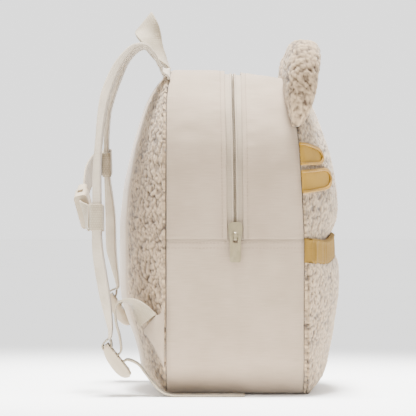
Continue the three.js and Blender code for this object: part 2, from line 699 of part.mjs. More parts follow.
function ear(side) {
  const stand = GUSSET_TOP_CROWN / 2 + CLEARANCE;
  const start = earPoint(EAR_START_ANGLE, stand);
  const end = earPoint(EAR_END_ANGLE, stand);
  const middle = start.clone().add(end).multiplyScalar(0.5);
  const half = start.clone().sub(end).multiplyScalar(0.5);
  const axis = new THREE.Vector2(Math.cos(radians(EAR_DIRECTION)), Math.sin(radians(EAR_DIRECTION)))
    .multiplyScalar(EAR_LENGTH);
  const rim = shares(12).map((share) => {
    const turn = Math.PI * share;
    const flare = 1 + EAR_FLARE * Math.sin(turn);
    return middle.clone().addScaledVector(half, Math.cos(turn) * flare).addScaledVector(axis, Math.sin(turn));
  });
  const base = shares(12).map((share) => earPoint(lerp(EAR_START_ANGLE, EAR_END_ANGLE, share), stand));
  const up = shares(5);
  const sheet = (direction) => up.map((level) => shares(12).map((share, index) => {
    const place = base[index].clone().lerp(rim[index], level);
    const swell = Math.sqrt(Math.max(0, Math.sin(Math.PI * lerp(EAR_FOOT_SWELL, 1, level))));
    const round = Math.sqrt(Math.sin(Math.PI * share)) * swell;
    const bulge = direction > 0 ? EAR_FRONT_BULGE : EAR_REAR_BULGE;
    const lean = EAR_LEAN * level * Math.sin(Math.PI * share);
    const depth = frontSeam(place.y) + lean + direction * (EAR_RIM / 2 + (bulge - EAR_RIM / 2) * round);
    return vector(side * place.x, -depth, place.y);
  }));
  return sheetSolid(sheet(1), sheet(-1));
}

// Cheek stripes lie on the front panel and start at its side seam
function cheekStripe(stripe, side) {
  const level = stripe.level * BODY_HEIGHT;
  const length = stripe.length * HALF_WIDTH;
  const height = stripe.height * STRIPE_HEIGHT;
  const along = [0, 0.15, 0.3, 0.45, 0.6, 0.72, 0.83, 0.92, 0.98];
  const round = STRIPE_ROUND_START;
  const sheet = (thickness) => along.map((share) => [-1, -0.5, 0, 0.5, 1].map((edge) => {
    const narrowing = Math.sqrt(1 - Math.max(0, (share - round) / (1 - round)) ** 2);
    const z = level + stripe.slope * length * share + edge * narrowing * height / 2;
    const x = halfWidthAt(FRONT_SHAPE, z) - STRIPE_SEAM_INSET - share * length;
    return vector(side * x, -(frontOuter(x, z) + STRIPE_STAND + thickness), z);
  }));
  return sheetSolid(sheet(STRIPE_THICKNESS), sheet(0));
}

const RIBBON_STEPS = 2;

// Ribbons: each row gives a place, the direction of the width, and its width and thickness
function ribbonFrames(rows) {
  const route = new THREE.CatmullRomCurve3(rows.map((row) => row.at), false, 'centripetal');
  const widths = new THREE.CatmullRomCurve3(rows.map((row) => row.wide), false, 'catmullrom', 0.5);
  const last = rows.length - 1;
  return shares(last * RIBBON_STEPS).map((share) => {
    const tangent = route.getTangent(share);
    const normal = tangent.clone().cross(widths.getPoint(share)).normalize();
    const wide = normal.clone().cross(tangent).normalize();
    const row = Math.min(last - 1, Math.floor(share * last));
    const part = share * last - row;
    return {
      at: route.getPoint(share),
      tangent,
      normal,
      wide,
      width: lerp(rows[row].width, rows[row + 1].width, part),
      thick: lerp(rows[row].thick, rows[row + 1].thick, part),
    };
  });
}

function ribbonSolid(frames, across = [-1, 1], edge = 1) {
  const sheet = (face) => frames.map(({ at, normal, wide, width, thick }) => across.map((share) => {
    const depth = face * thick / 2 * (1 - (1 - edge) * share ** 4);
    return at.clone().addScaledVector(wide, share * width / 2).addScaledVector(normal, depth);
  }));
  return sheetSolid(sheet(1), sheet(-1));
}

const webbingRow = (at, wide) => ({ at, wide, width: WEBBING_WIDTH, thick: WEBBING_THICKNESS });

function strapPlace(side, { across, back, height }) {
  return vector(side * across * HALF_WIDTH, REAR_DEPTH + back * STRAP_REACH, height * BODY_HEIGHT);
}

// Handle: a webbing loop whose ends stand on the back seam and whose width turns to face back
function handle() {
  const half = HANDLE_SPACING / 2;
  const footY = rearSeam(BODY_HEIGHT) + HANDLE_SETBACK;
  const footZ = BODY_HEIGHT + 2 * CLEARANCE;
  const limb = (side) => HANDLE_ROUTE.map(({ across, back, rise, turn }) => webbingRow(
    vector(side * across * half, footY + back * HANDLE_HEIGHT, footZ + rise * HANDLE_HEIGHT),
    vector(-side * (1 - turn), -0.9 * turn, (0.2 + 0.5 * rise) * turn),
  ));
  const rows = limb(-1).concat(limb(1).reverse().slice(1));
  return ribbonSolid(ribbonFrames(rows));
}

// Shoulder straps
function shoulderRows(side, table, lockBar) {
  const root = outlinePoint(BACK_SHAPE, 'top corner', STRAP_ROOT_ANGLE / 90);
  const stand = 2 * CLEARANCE;
  const first = {
    at: vector(side * (root.x + root.normalX * stand), rearSeam(root.z) + 1, root.z + root.normalZ * stand),
    wide: vector(root.normalZ, 0, -side * root.normalX),
    width: 0.75 * STRAP_WIDTH,
    thick: 0.3 * STRAP_THICKNESS,
  };
  const leaving = vector(side * root.normalX, 0.3, root.normalZ).multiplyScalar(STRAP_THICKNESS * 0.375);
  const rising = { ...first, at: first.at.clone().add(leaving) };
  const rest = table.map((row) => ({
    at: strapPlace(side, row),
    wide: vector(1, 0, 0),
    width: row.width * STRAP_WIDTH,
    thick: row.thick * STRAP_THICKNESS,
  }));
  const end = rest.at(-1);
  const last = { ...end, at: end.at.clone().lerp(lockBar, 0.25) };
  return [first, rising, ...rest, last];
}

const STRAP_SECTION = [-1, -0.75, 0.75, 1];

// Ladder locks: a plate with a slot for the strap's tab and two slots that grip the webbing
const LOCK_SLOT_WIDTH = WEBBING_WIDTH + 2 * LOCK_SIDE_ROOM;
const LOCK_WIDTH = LOCK_SLOT_WIDTH + 2 * LOCK_FRAME;
const LOCK_TAB_BAR = LOCK_BAR + LOCK_SLOT + LOCK_BAR / 2 + LOCK_SLOT + LOCK_END_BAR / 2;
const LOCK_SLOTS = [
  -(LOCK_BAR + LOCK_SLOT) / 2,
  (LOCK_BAR + LOCK_SLOT) / 2,
  LOCK_BAR * 1.5 + LOCK_SLOT * 1.5,
];

function lockFrame(side, { across, back, height, fallBack, fallDown }) {
  const up = vector(0, -fallBack, -fallDown).normalize();
  const inward = vector(0, -up.z, up.y);
  return { centre: strapPlace(side, { across, back, height }), up, inward };
}

const lockPoint = ({ centre, up, inward }, along, over) => (
  centre.clone().addScaledVector(up, along).addScaledVector(inward, over)
);

function ladderLock(frame) {
  const top = LOCK_TAB_BAR + LOCK_END_BAR / 2;
  const bottom = LOCK_BAR / 2 + LOCK_SLOT + LOCK_LIP;
  const plate = slab(roundedShape(LOCK_WIDTH, top + bottom, LOCK_CORNER), LOCK_THICKNESS)
    .translate(0, (top - bottom) / 2, 0);
  const slots = LOCK_SLOTS.map((along) => (
    slab(roundedShape(LOCK_SLOT_WIDTH, LOCK_SLOT, LOCK_SLOT / 6), LOCK_THICKNESS * 2)
      .translate(0, along, 0)
  ));
  const placed = new THREE.Matrix4().makeBasis(
    vector(1, 0, 0), frame.up, vector(1, 0, 0).cross(frame.up),
  ).setPosition(frame.centre);
  return cut(plate, slots).applyMatrix4(placed);
}

// The tab goes down from the strap's end, round the lock's end bar and back up
function strapTab(frame, strapEnd) {
  const bar = lockPoint(frame, LOCK_TAB_BAR, 0);
  const radius = Math.hypot(LOCK_END_BAR, LOCK_THICKNESS) / 2 + WEBBING_THICKNESS / 2 + CLEARANCE;
  const toStrap = strapEnd.clone().sub(bar).setX(0);
  const reach = toStrap.length();
  toStrap.normalize();
  const sideways = vector(0, -toStrap.z, toStrap.y);
  const place = (along, over) => bar.clone().addScaledVector(toStrap, along).addScaledVector(sideways, over)
    .setX(lerp(strapEnd.x, bar.x, 1 - Math.max(0, along) / reach));
  const end = WEBBING_THICKNESS / 2 + CLEARANCE;
  const turns = shares(6).map((share) => {
    const angle = Math.PI * share;
    return place(-radius * Math.sin(angle), -radius * Math.cos(angle));
  });
  const start = reach - 2 * CLEARANCE;
  const places = [
    place(start, -end), place(start * 0.6, -lerp(end, radius, 0.6)), ...turns,
    place(start * 0.6, lerp(end, radius, 0.6)), place(start, end),
  ];
  return ribbonSolid(ribbonFrames(places.map((at) => webbingRow(at, vector(1, 0, 0)))));
}

// Strap wings, sewn along the foot of the back seam
const WING_TIP_HIGH = { across: 0.983, back: 0.144, height: 0.247 };
const WING_TIP_LOW = { across: 0.87, back: 0.335, height: 0.2 };

function strapWing(side) {
  const stand = WING_THICKNESS / 2 + 3 * CLEARANCE;
  const sheet = (face) => shares(5).map((along) => shares(4).map((out) => {
    const z = lerp(WING_LOW, WING_HIGH, along);
    const seam = vector(side * (halfWidthAt(BACK_SHAPE, z) + stand), rearSeam(z) + PANEL_RIM, z);
    const tip = strapPlace(side, WING_TIP_LOW).lerp(strapPlace(side, WING_TIP_HIGH), along);
    const hollow = vector(0, 0, (0.5 - along) * WING_HOLLOW * Math.sin(Math.PI * out));
    const leaving = (seam.x - tip.x) * WING_FLARE * out * (1 - out);
    return seam.lerp(tip, out).add(hollow).add(vector(leaving + side * face * WING_THICKNESS / 2, 0, 0));
  }));
  return sheetSolid(sheet(1), sheet(-1));
}

// Adjuster webbing: from the wing through both slots of the lock to its free end
function adjusterWebbing(side, table, frame, tail) {
  const high = strapPlace(side, WING_TIP_HIGH);
  const low = strapPlace(side, WING_TIP_LOW);
  const tipWidth = low.clone().sub(high).normalize();
  const mirrored = ({ wideX, wideY, wideZ }) => vector(wideX, -side * wideY, -side * wideZ);
  const away = strapPlace(side, table[0]).sub(high.clone().lerp(low, 0.5)).normalize();
  const start = high.clone().lerp(low, 0.5).addScaledVector(away, WING_THICKNESS);
  const bend = LOCK_BAR / 2 + LOCK_SLOT / 2;
  const drop = LOCK_THICKNESS / 2 + WEBBING_THICKNESS / 2 + 2 * CLEARANCE;
  const rows = [
    webbingRow(start, tipWidth.multiplyScalar(-side)),
    ...table.map((row) => webbingRow(strapPlace(side, row), mirrored(row))),
    ...LOCK_WRAP.map(({ along, over }) => (
      webbingRow(lockPoint(frame, along * bend, over * drop), vector(1, 0, 0))
    )),
    ...tail.map((row) => webbingRow(strapPlace(side, row), mirrored(row))),
  ];
  return ribbonSolid(ribbonFrames(rows));
}

// Chest webbing
function frameAtHeight(frames, z) {
  const hanging = frames.filter((frame) => frame.at.y > REAR_DEPTH + STRAP_REACH / 2);
  const miss = (frame) => Math.abs(frame.at.z - z);
  return hanging.reduce((best, frame) => (miss(frame) < miss(best) ? frame : best));
}

function chestLoop(frame) {
  const halfThick = frame.thick / 2 + CHEST_LOOP_CLEARANCE;
  const halfWide = frame.width / 2 + CHEST_LOOP_CLEARANCE;
  const corner = CHEST_LOOP_CORNER;
  const quarters = [[1, 1], [-1, 1], [-1, -1], [1, -1]];
  const around = quarters.flatMap(([x, y], index) => shares(3).map((share) => {
    const angle = radians(90) * (index + share);
    return {
      x: x * (halfWide - corner),
      y: y * (halfThick - corner),
      cos: Math.cos(angle),
      sin: Math.sin(angle),
    };
  }));
  const sheet = (out) => around.map(({ x, y, cos, sin }) => [-1, 1].map((end) => (
    frame.at.clone()
      .addScaledVector(frame.wide, x + (corner + out) * cos)
      .addScaledVector(frame.normal, y + (corner + out) * sin)
      .addScaledVector(frame.tangent, end * WEBBING_WIDTH / 2)
  )));
  return sheetSolid(sheet(WEBBING_THICKNESS), sheet(0), true);
}

const BUCKLE_CENTRE = strapPlace(1, CHEST_BUCKLE);
const BUCKLE_ALONG = vector(1, 0, CHEST_BUCKLE.rise).normalize();
const BUCKLE_UP = vector(0, CHEST_BUCKLE.lean, 1).projectOnPlane(BUCKLE_ALONG).normalize();
const BUCKLE_OUT = BUCKLE_ALONG.clone().cross(BUCKLE_UP);
const BUCKLE_LENGTH = SOCKET_LENGTH + PLUG_LENGTH;

const bucklePlace = (along, up, out) => BUCKLE_CENTRE.clone()
  .addScaledVector(BUCKLE_ALONG, along).addScaledVector(BUCKLE_UP, up).addScaledVector(BUCKLE_OUT, out);

// A block of the buckle, given by its length along the strap, its height and its thickness
function buckleBlock(length, height, thickness, radius, along, up = 0) {
  const basis = new THREE.Matrix4().makeBasis(BUCKLE_OUT, BUCKLE_UP, BUCKLE_ALONG.clone().negate());
  basis.setPosition(bucklePlace(along, up, 0));
  return slab(roundedShape(thickness, height, radius), length).applyMatrix4(basis);
}

const SOCKET_START = -BUCKLE_LENGTH / 2;
const PLUG_START = SOCKET_START + SOCKET_LENGTH + CLEARANCE;

const webbingSlot = (along) => buckleBlock(
  BUCKLE_SLOT, WEBBING_WIDTH + LOCK_SIDE_ROOM, BUCKLE_THICKNESS * 1.4, BUCKLE_SLOT / 8, along,
);

function buckleSocket() {
  const middle = SOCKET_START + SOCKET_LENGTH / 2;
  const shell = buckleBlock(SOCKET_LENGTH, BUCKLE_HEIGHT, BUCKLE_THICKNESS, BUCKLE_CORNER, middle);
  const roomHeight = BUCKLE_HEIGHT - 2 * BUCKLE_WALL;
  const roomThickness = BUCKLE_THICKNESS - 2 * BUCKLE_WALL;
  const roomStart = BUCKLE_SLOT_BAR + BUCKLE_SLOT + BUCKLE_WALL;
  const room = buckleBlock(
    SOCKET_LENGTH, roomHeight, roomThickness, BUCKLE_CORNER / 2, middle + roomStart,
  );
  const window = buckleBlock(
    SOCKET_WINDOW, BUCKLE_HEIGHT * 1.2, roomThickness * 0.7, BUCKLE_CORNER / 3, middle + BUCKLE_SLOT,
  );
  return cut(shell, [room, window, webbingSlot(SOCKET_START + BUCKLE_SLOT_BAR + BUCKLE_SLOT / 2)]);
}

function bucklePlug() {
  const middle = PLUG_START + PLUG_LENGTH / 2;
  const base = buckleBlock(
    PLUG_LENGTH, BUCKLE_HEIGHT * 0.97, BUCKLE_THICKNESS * 0.75, BUCKLE_CORNER * 0.8, middle,
  );
  const slot = webbingSlot(PLUG_START + PLUG_LENGTH - 2 * BUCKLE_SLOT_BAR - BUCKLE_SLOT / 2);
  const prongUp = BUCKLE_HEIGHT / 2 - BUCKLE_WALL - PRONG_HEIGHT / 2 - PRONG_CLEARANCE;
  const prongThickness = BUCKLE_THICKNESS - 2 * BUCKLE_WALL - 2 * PRONG_CLEARANCE;
  const prongs = [-1, 0, 1].map((place) => {
    const length = place ? PRONG_LENGTH : PRONG_LENGTH * 0.8;
    const rooted = PLUG_START + PRONG_CLEARANCE - length / 2;
    return buckleBlock(length, PRONG_HEIGHT, prongThickness, PRONG_HEIGHT / 4, rooted, place * prongUp);
  });
  return joined([cut(base, [slot]), ...prongs]);
}

// The run from a loop on the shoulder strap to the buckle, laid on the loop's outer face
function chestStrap(frame, table, buckleEnd, buckleInside) {
  const stand = frame.thick / 2 + CHEST_LOOP_CLEARANCE + 1.5 * WEBBING_THICKNESS + CLEARANCE;
  const outward = frame.normal.clone().multiplyScalar(Math.sign(frame.normal.y));
  const upward = frame.tangent.clone().multiplyScalar(Math.sign(frame.tangent.z));
  const inner = -Math.sign(frame.at.x);
  const onLoop = [{ share: -0.35, lift: 0 }, { share: 0.1, lift: 0.2 }, { share: 0.5, lift: 1.2 }].map(
    ({ share, lift }) => frame.at.clone()
      .addScaledVector(outward, stand + lift * WEBBING_THICKNESS)
      .add(vector(inner * share * STRAP_WIDTH, 0, 0)),
  );
  const rows = [
    ...onLoop.map((at) => webbingRow(at, upward)),
    ...table.map((row) => webbingRow(strapPlace(1, row), vector(0, 0.12, 1))),
    webbingRow(bucklePlace(buckleEnd, 0, 0), BUCKLE_UP),
    webbingRow(bucklePlace(buckleInside, 0, 0), BUCKLE_UP),
  ];
  return ribbonSolid(ribbonFrames(rows));
}

// Materials
function finish(color, roughness, metalness = 0) {
  return new THREE.MeshStandardMaterial({ color, roughness, metalness });
}

const WOVEN = finish(0xcfc6bb, 0.85);
const TEDDY = finish(0xd9cdbd, 0.95);
const MUSTARD = finish(0xc49a45, 0.8);
const WEBBING = finish(0xc3baab, 0.8);
const PLASTIC = finish(0xcfc6b8, 0.45);
const ZIP_TAPE = finish(0xc6bdb0, 0.8);
const PAINTED_METAL = finish(0xb8b0a0, 0.4, 0.5);

const group = new THREE.Group();

function add(name, geometry, material) {
  const mesh = new THREE.Mesh(geometry, material);
  mesh.name = name;
  group.add(mesh);
}

add('gusset_bottom', gussetBottom(), WOVEN);
add('gusset_top_rear', gussetArch(true), WOVEN);
add('gusset_top_front', gussetArch(false), WOVEN);
add('zip_chain', zipChain(), ZIP_TAPE);
add('zip_slider', joined([sliderBody(), sliderBail()]), PAINTED_METAL);
add('zip_pull', zipPull(), PAINTED_METAL);
add('back_panel', backPanel(), TEDDY);
add('front_panel', frontPanel(), TEDDY);
add('pocket', pocket(), TEDDY);
add('pocket_band', pocketBand(), MUSTARD);
add('handle', handle(), WEBBING);

const SIDES = [
  { name: 'left', side: -1, key: 'near', shoulder: NEAR_SHOULDER, adjuster: NEAR_ADJUSTER, tail: NEAR_TAIL },
  { name: 'right', side: 1, key: 'far', shoulder: FAR_SHOULDER, adjuster: FAR_ADJUSTER, tail: FAR_TAIL },
];
const CHEST_RUNS = {
  near: { table: [], end: SOCKET_START - BUCKLE_WEBBING_LEAD, inside: SOCKET_START - CLEARANCE },
  far: {
    table: [...FAR_CHEST].reverse(),
    end: PLUG_START + PLUG_LENGTH + BUCKLE_WEBBING_LEAD,
    inside: PLUG_START + PLUG_LENGTH + CLEARANCE,
  },
};

for (const { name, side, key, shoulder, adjuster, tail } of SIDES) {
  const lock = lockFrame(side, LOCKS[key]);
  const strapFrames = ribbonFrames(shoulderRows(side, shoulder, lockPoint(lock, LOCK_TAB_BAR, 0)));
  const loopFrame = frameAtHeight(strapFrames, CHEST_LOOPS[key] * BODY_HEIGHT);
  const run = CHEST_RUNS[key];
  add(`ear_${name}`, ear(side), TEDDY);
  STRIPES.forEach((stripe) => add(`cheek_stripe_${stripe.name}_${name}`, cheekStripe(stripe, side), MUSTARD));
  add(`shoulder_strap_${name}`, ribbonSolid(strapFrames, STRAP_SECTION, STRAP_EDGE), WEBBING);
  add(`ladder_lock_${name}`, ladderLock(lock), PLASTIC);
  add(`strap_tab_${name}`, strapTab(lock, strapFrames.at(-1).at), WEBBING);
  add(`strap_wing_${name}`, strapWing(side), WOVEN);
  add(`adjuster_webbing_${name}`, adjusterWebbing(side, adjuster, lock, tail), WEBBING);
  add(`chest_loop_${name}`, chestLoop(loopFrame), WEBBING);
  add(`chest_strap_${name}`, chestStrap(loopFrame, run.table, run.end, run.inside), WEBBING);
}

add('buckle_socket', buckleSocket(), PLASTIC);
add('buckle_plug', bucklePlug(), PLASTIC);

export default group;
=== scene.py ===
# Kids backpack with a teddy fabric body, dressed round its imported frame. Metres, in the frame's axes:
# +Z up, +Y towards the wearer's back, the animal face at -Y, the zip slider at -X.
import itertools
import math

import bmesh
import bpy
import numpy as np
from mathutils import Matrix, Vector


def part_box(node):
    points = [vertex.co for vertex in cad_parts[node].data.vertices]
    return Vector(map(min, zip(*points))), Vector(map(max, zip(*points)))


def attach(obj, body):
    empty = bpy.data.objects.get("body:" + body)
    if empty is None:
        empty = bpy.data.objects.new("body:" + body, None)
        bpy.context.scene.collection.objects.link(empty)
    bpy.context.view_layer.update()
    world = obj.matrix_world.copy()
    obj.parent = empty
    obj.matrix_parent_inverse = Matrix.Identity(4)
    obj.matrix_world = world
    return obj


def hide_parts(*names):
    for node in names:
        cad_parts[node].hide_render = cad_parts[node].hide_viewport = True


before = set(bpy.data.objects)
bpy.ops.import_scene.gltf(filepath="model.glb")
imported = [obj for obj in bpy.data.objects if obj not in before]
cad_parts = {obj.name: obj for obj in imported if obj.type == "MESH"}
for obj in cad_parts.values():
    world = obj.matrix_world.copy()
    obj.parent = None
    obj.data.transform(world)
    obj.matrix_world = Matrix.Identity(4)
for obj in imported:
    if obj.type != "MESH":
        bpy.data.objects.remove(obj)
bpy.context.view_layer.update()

MM = 0.001

# Sizes of the body, from the frame
HALF_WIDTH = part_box("back_panel")[1].x
BACK_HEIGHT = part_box("back_panel")[1].z
FRONT_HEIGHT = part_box("front_panel")[1].z
REAR_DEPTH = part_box("gusset_bottom")[1].y
FRONT_DEPTH = -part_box("gusset_bottom")[0].y
SEAM_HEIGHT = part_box("gusset_bottom")[1].z
GUSSET_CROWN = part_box("gusset_bottom")[1].x - HALF_WIDTH
POCKET_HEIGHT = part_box("pocket")[1].z
BASE_RADIUS = 45 * MM
TOP_RADIUS = 85 * MM
GUSSET_TOP_CROWN = 2.5 * MM
GUSSET_WALL = 1.6 * MM
CLEARANCE = 0.3 * MM
BASE_STITCH_INSETS = (2.4 * MM, 7 * MM)
STITCH_PITCH = 3.1 * MM
STITCH_LENGTH = 2.3 * MM
STITCH_THICKNESS = 0.6 * MM
STITCH_DENT = 0.45 * MM
STITCH_DENT_SPREAD = 0.8 * MM

# Relief of the woven band
# Dents: depth, size, stretch along the three axes, seed
BAND_DENTS = [(1.1 * MM, 42 * MM, (1, 0.8, 1), 3), (0.45 * MM, 13 * MM, (0.6, 0.6, 1.3), 4)]
PUCKER_DEPTH = 0.5 * MM
PUCKER_REACH = 9 * MM
EDGE_REACH = 3.2 * MM
SEAM_DEPTH = 1.3 * MM
SEAM_REACH = 1.3 * MM
PULL_DEPTH = 1.1 * MM
PULL_INSET = 22 * MM
PULL_SPREAD = 20 * MM
PULL_SLANT = 0.6
BASE_DENT = 0.3 * MM
BASE_DENT_INSET = 2.6 * MM
RELIEF_RISE = 35 * MM

# Zip
ZIP_OPENING = 15 * MM
ZIP_LEAN = 0.4
TAPE_LAP = 3.5 * MM
TAPE_WALL = 0.8 * MM
COIL_HALF = 2.9 * MM
COIL_GROOVE = 1.2 * MM
COIL_PITCH = 1.6 * MM
ZIP_STITCH_INSET = 4.2 * MM
ZIP_FOLD_HEIGHT = 0.5 * MM
ZIP_FOLD_SPREAD = 1.4 * MM
ZIP_PUCKER_INSET = 8 * MM
COIL_RADIUS = 1.2 * MM
COIL_LIFT = 0.3 * MM
TOOTH_LIFT = 0.4 * MM
TOOTH_RADIUS = 0.45 * MM
TOOTH_LENGTH = 2.4 * COIL_GROOVE

# Panels and pocket
PANEL_RIM = 2 * MM
PANEL_STAND = PANEL_RIM + CLEARANCE
POCKET_STAND = 2 * PANEL_STAND
BACK_PADDING = 6 * MM
BACK_BULGE = 45.3 * MM
FRONT_WALL = 3.6 * MM
FRONT_BULGE = 36.8 * MM
POCKET_WALL = 3.5 * MM
POCKET_BULGE = 36.4 * MM
PADDING_RAMP = 20 * MM
DOME_POWER = 2.4
BACK_PAD_HALF = 60 * MM
PAD_RISE = 1.6 * MM
PAD_SINK = 1 * MM
PAD_EDGE = 6 * MM
PAD_DENT = 0.5 * MM
PAD_PUCKER = 0.35 * MM
PAD_PUCKER_REACH = 7 * MM
POCKET_SIDE_DROP = 5 * MM
POCKET_DROP_END = 0.7
POCKET_SAG = 2 * MM
POCKET_SAG_AT = 0.68
POCKET_SAG_SPREAD = 0.2
BAND_HEIGHT = 22 * MM
BAND_WALL = 2 * MM
BAND_STAND = 1.6 * MM
BAND_PLEAT = 0.885
BAND_TUCK = 2 * MM
BAND_SIDE_STAND = 3 * MM
BAND_FOLD_PITCH = 8.3 * MM
BAND_FOLD_DEPTH = 0.62 * MM
BAND_SCALLOP = 0.8 * MM
BAND_HEM = 0.8 * MM
BAND_HEM_SINK = 0.9 * MM
BAND_HEM_AT = 0.9
BAND_HEM_LOW = 0.08
PLEAT_DEPTH = 3.2 * MM
PLEAT_SPREAD = 0.9 * MM
PLEAT_FOLD = 0.7 * MM
PLEAT_FOLD_AT = 2.4 * MM
PLEAT_FOLD_SPREAD = 1.3 * MM
PILE_DEPTH = 2.1 * MM
TUFT = 3.7 * MM
PILE_SPACING = 1.1 * MM
PILE_LEVEL = 0.35
PILE_TUCK = 2.4 * MM

# Ears and stripes
EAR_START, EAR_END, EAR_DIRECTION = 26, 75, 60
EAR_LENGTH = 58.5 * MM
EAR_FLARE = 0.14
EAR_FRONT_BULGE = 19.5 * MM
EAR_REAR_BULGE = 12.5 * MM
EAR_LEAN = 12 * MM
EAR_RIM = 3 * MM
EAR_FOOT_SHARE = 0.42
EAR_PILE_FADE = 1.2 * MM
EAR_WELD = 0.05 * MM
STRIPE_THICKNESS = 1.2 * MM
STRIPE_STAND = 1.4 * MM
STRIPE_RISE = 3 * MM
STRIPE_BORDER = 2.9 * MM
STRIPE_BORDER_HEIGHT = 3.2 * MM
STRIPE_SINK = 0.7 * MM
STRIPE_DENT = 0.3 * MM
STRIPE_ROUND = 0.6
STRIPES = {
    "upper": {"level": 220.3 * MM, "length": 36 * MM, "height": 18 * MM, "top": -0.16, "bottom": 0.02},
    "lower": {"level": 195 * MM, "length": 49 * MM, "height": 18.6 * MM, "top": 0.07, "bottom": 0.1},
}

# Webbing and straps
WEBBING_WIDTH = 24 * MM
WEBBING_THICKNESS = 1.5 * MM
RIB_PITCH = 2.2 * MM
RIB_HEIGHT = 0.22 * MM
HANDLE_SPACING = 54 * MM
HANDLE_HEIGHT = 50 * MM
HANDLE_SETBACK = 2 * MM
STRAP_WIDTH = 40 * MM
STRAP_THICKNESS = 8 * MM
STRAP_ROOT_ANGLE = 69
STRAP_REACH = 64.5 * MM
WING_THICKNESS = 2.4 * MM
WING_LOW, WING_HIGH = 26 * MM, 83 * MM
WING_FLARE = 1.4
WING_HOLLOW = 6 * MM
LOCK_THICKNESS = 4.5 * MM
LOCK_BAR = 3.4 * MM
LOCK_SLOT = 4.6 * MM
LOCK_END_BAR = 4 * MM
LOCK_CHEEK_LENGTH = 36 * MM
LOCK_CHEEK_BULGE = 8 * MM
LOCK_CHEEK_PROUD = 0.6 * MM
LOCK_CHEEK_ROUNDING = ((0, 1.1), (0.3, 0.4), (0.9, 0), (2.1, 0), (2.7, 0.4), (3, 1.1))
WEBBING_CORNER = 0.7 * MM
STRAP_CORNER = 1.3 * MM
STRAP_DENT = 0.35 * MM
WING_DENT = 0.6 * MM
LOCK_BAR_OFFSET = LOCK_BAR * 1.5 + LOCK_SLOT * 2 + LOCK_END_BAR / 2
LOOP_CLEARANCE = 0.7 * MM
LOOP_CORNER = 2 * MM
SOCKET_LENGTH = 30 * MM
PLUG_LENGTH = 19 * MM

# Camera
CAMERA_DISTANCE = 2.5
CAMERA_Y = 24.7 * MM
CAMERA_HEIGHT = 171.3 * MM
VIEW_WIDTH = 395.2 * MM
SENSOR = 36

# Floor and light
FLOOR_REACH = 12.0
SKY_STRENGTH = 2.0
KEY_PLACE = (0.02, 0.08, 1.9)
KEY_SIZE = 0.9
KEY_POWER = 15
KEY_SPREAD = 20

# Depth of the two seams along the height, as shares of the panel's height and of the depth
REAR_SEAM = {"height": [0, 0.9, 0.95, 1], "depth": [1, 1, 0.978, 0.945]}
FRONT_SEAM = {
    "height": [0, 0.487, 0.62, 0.777, 0.88, 0.967, 1],
    "depth": [1, 1, 0.971, 0.928, 0.872, 0.822, 0.8],
}

# Bulge of the panels and the pocket along shares of their heights
BACK_PROFILE = {
    "height": [0, 0.033, 0.067, 0.113, 0.173, 0.233, 0.28, 0.343, 0.533, 0.643, 0.76, 0.877, 0.933, 0.977, 1],
    "bulge": [0, 0.38, 0.55, 0.59, 0.7, 0.855, 0.95, 1, 1, 0.916, 0.74, 0.5, 0.34, 0.155, 0],
}
FRONT_PROFILE = {
    "height": [0, 0.034, 0.103, 0.205, 0.428, 0.479, 0.514, 0.531, 0.555, 0.6, 0.654, 0.733, 0.798, 0.873,
               0.918, 0.959, 0.986, 1],
    "bulge": [0, 0.22, 0.41, 0.52, 0.6, 0.67, 0.79, 0.89, 0.96, 1, 0.98, 0.913, 0.793, 0.647,
              0.535, 0.36, 0.17, 0],
}
POCKET_PROFILE = {
    "height": [0, 0.055, 0.12, 0.22, 0.31, 0.41, 0.55, 0.685, 0.835, 0.95, 1],
    "bulge": [0.21, 0.42, 0.58, 0.69, 0.74, 0.82, 0.89, 0.97, 1, 0.975, 0.89],
}

# Strap routes: across, back and height as shares of the half width, the straps' reach and the body's
# height; then width and thickness as shares of the strap's
NEAR_SHOULDER = [
    (0.53, 0.081, 1.003, 0.8, 0.36),
    (0.548, 0.188, 1.043, 0.85, 0.42),
    (0.565, 0.287, 1.062, 0.9, 0.45),
    (0.583, 0.386, 1.068, 0.95, 0.5),
    (0.6, 0.499, 1.058, 1, 0.6),
    (0.626, 0.611, 1.034, 1, 0.75),
    (0.652, 0.723, 0.998, 1, 0.9),
    (0.687, 0.82, 0.951, 1, 0.95),
    (0.722, 0.888, 0.902, 1, 1),
    (0.765, 0.934, 0.84, 1, 0.85),
    (0.8, 0.96, 0.778, 1, 0.7),
    (0.835, 0.978, 0.717, 1, 0.75),
    (0.852, 0.985, 0.656, 1, 0.85),
    (0.87, 0.985, 0.595, 1, 0.9),
    (0.87, 0.985, 0.541, 1, 0.95),
    (0.878, 0.984, 0.495, 1, 1),
    (0.887, 0.97, 0.44, 1, 1.1),
    (0.887, 0.926, 0.374, 1, 1.15),
    (0.887, 0.872, 0.307, 0.95, 1.1),
    (0.878, 0.822, 0.246, 0.85, 0.8),
    (0.87, 0.795, 0.206, 0.72, 0.5),
    (0.87, 0.799, 0.181, 0.62, 0.36),
]
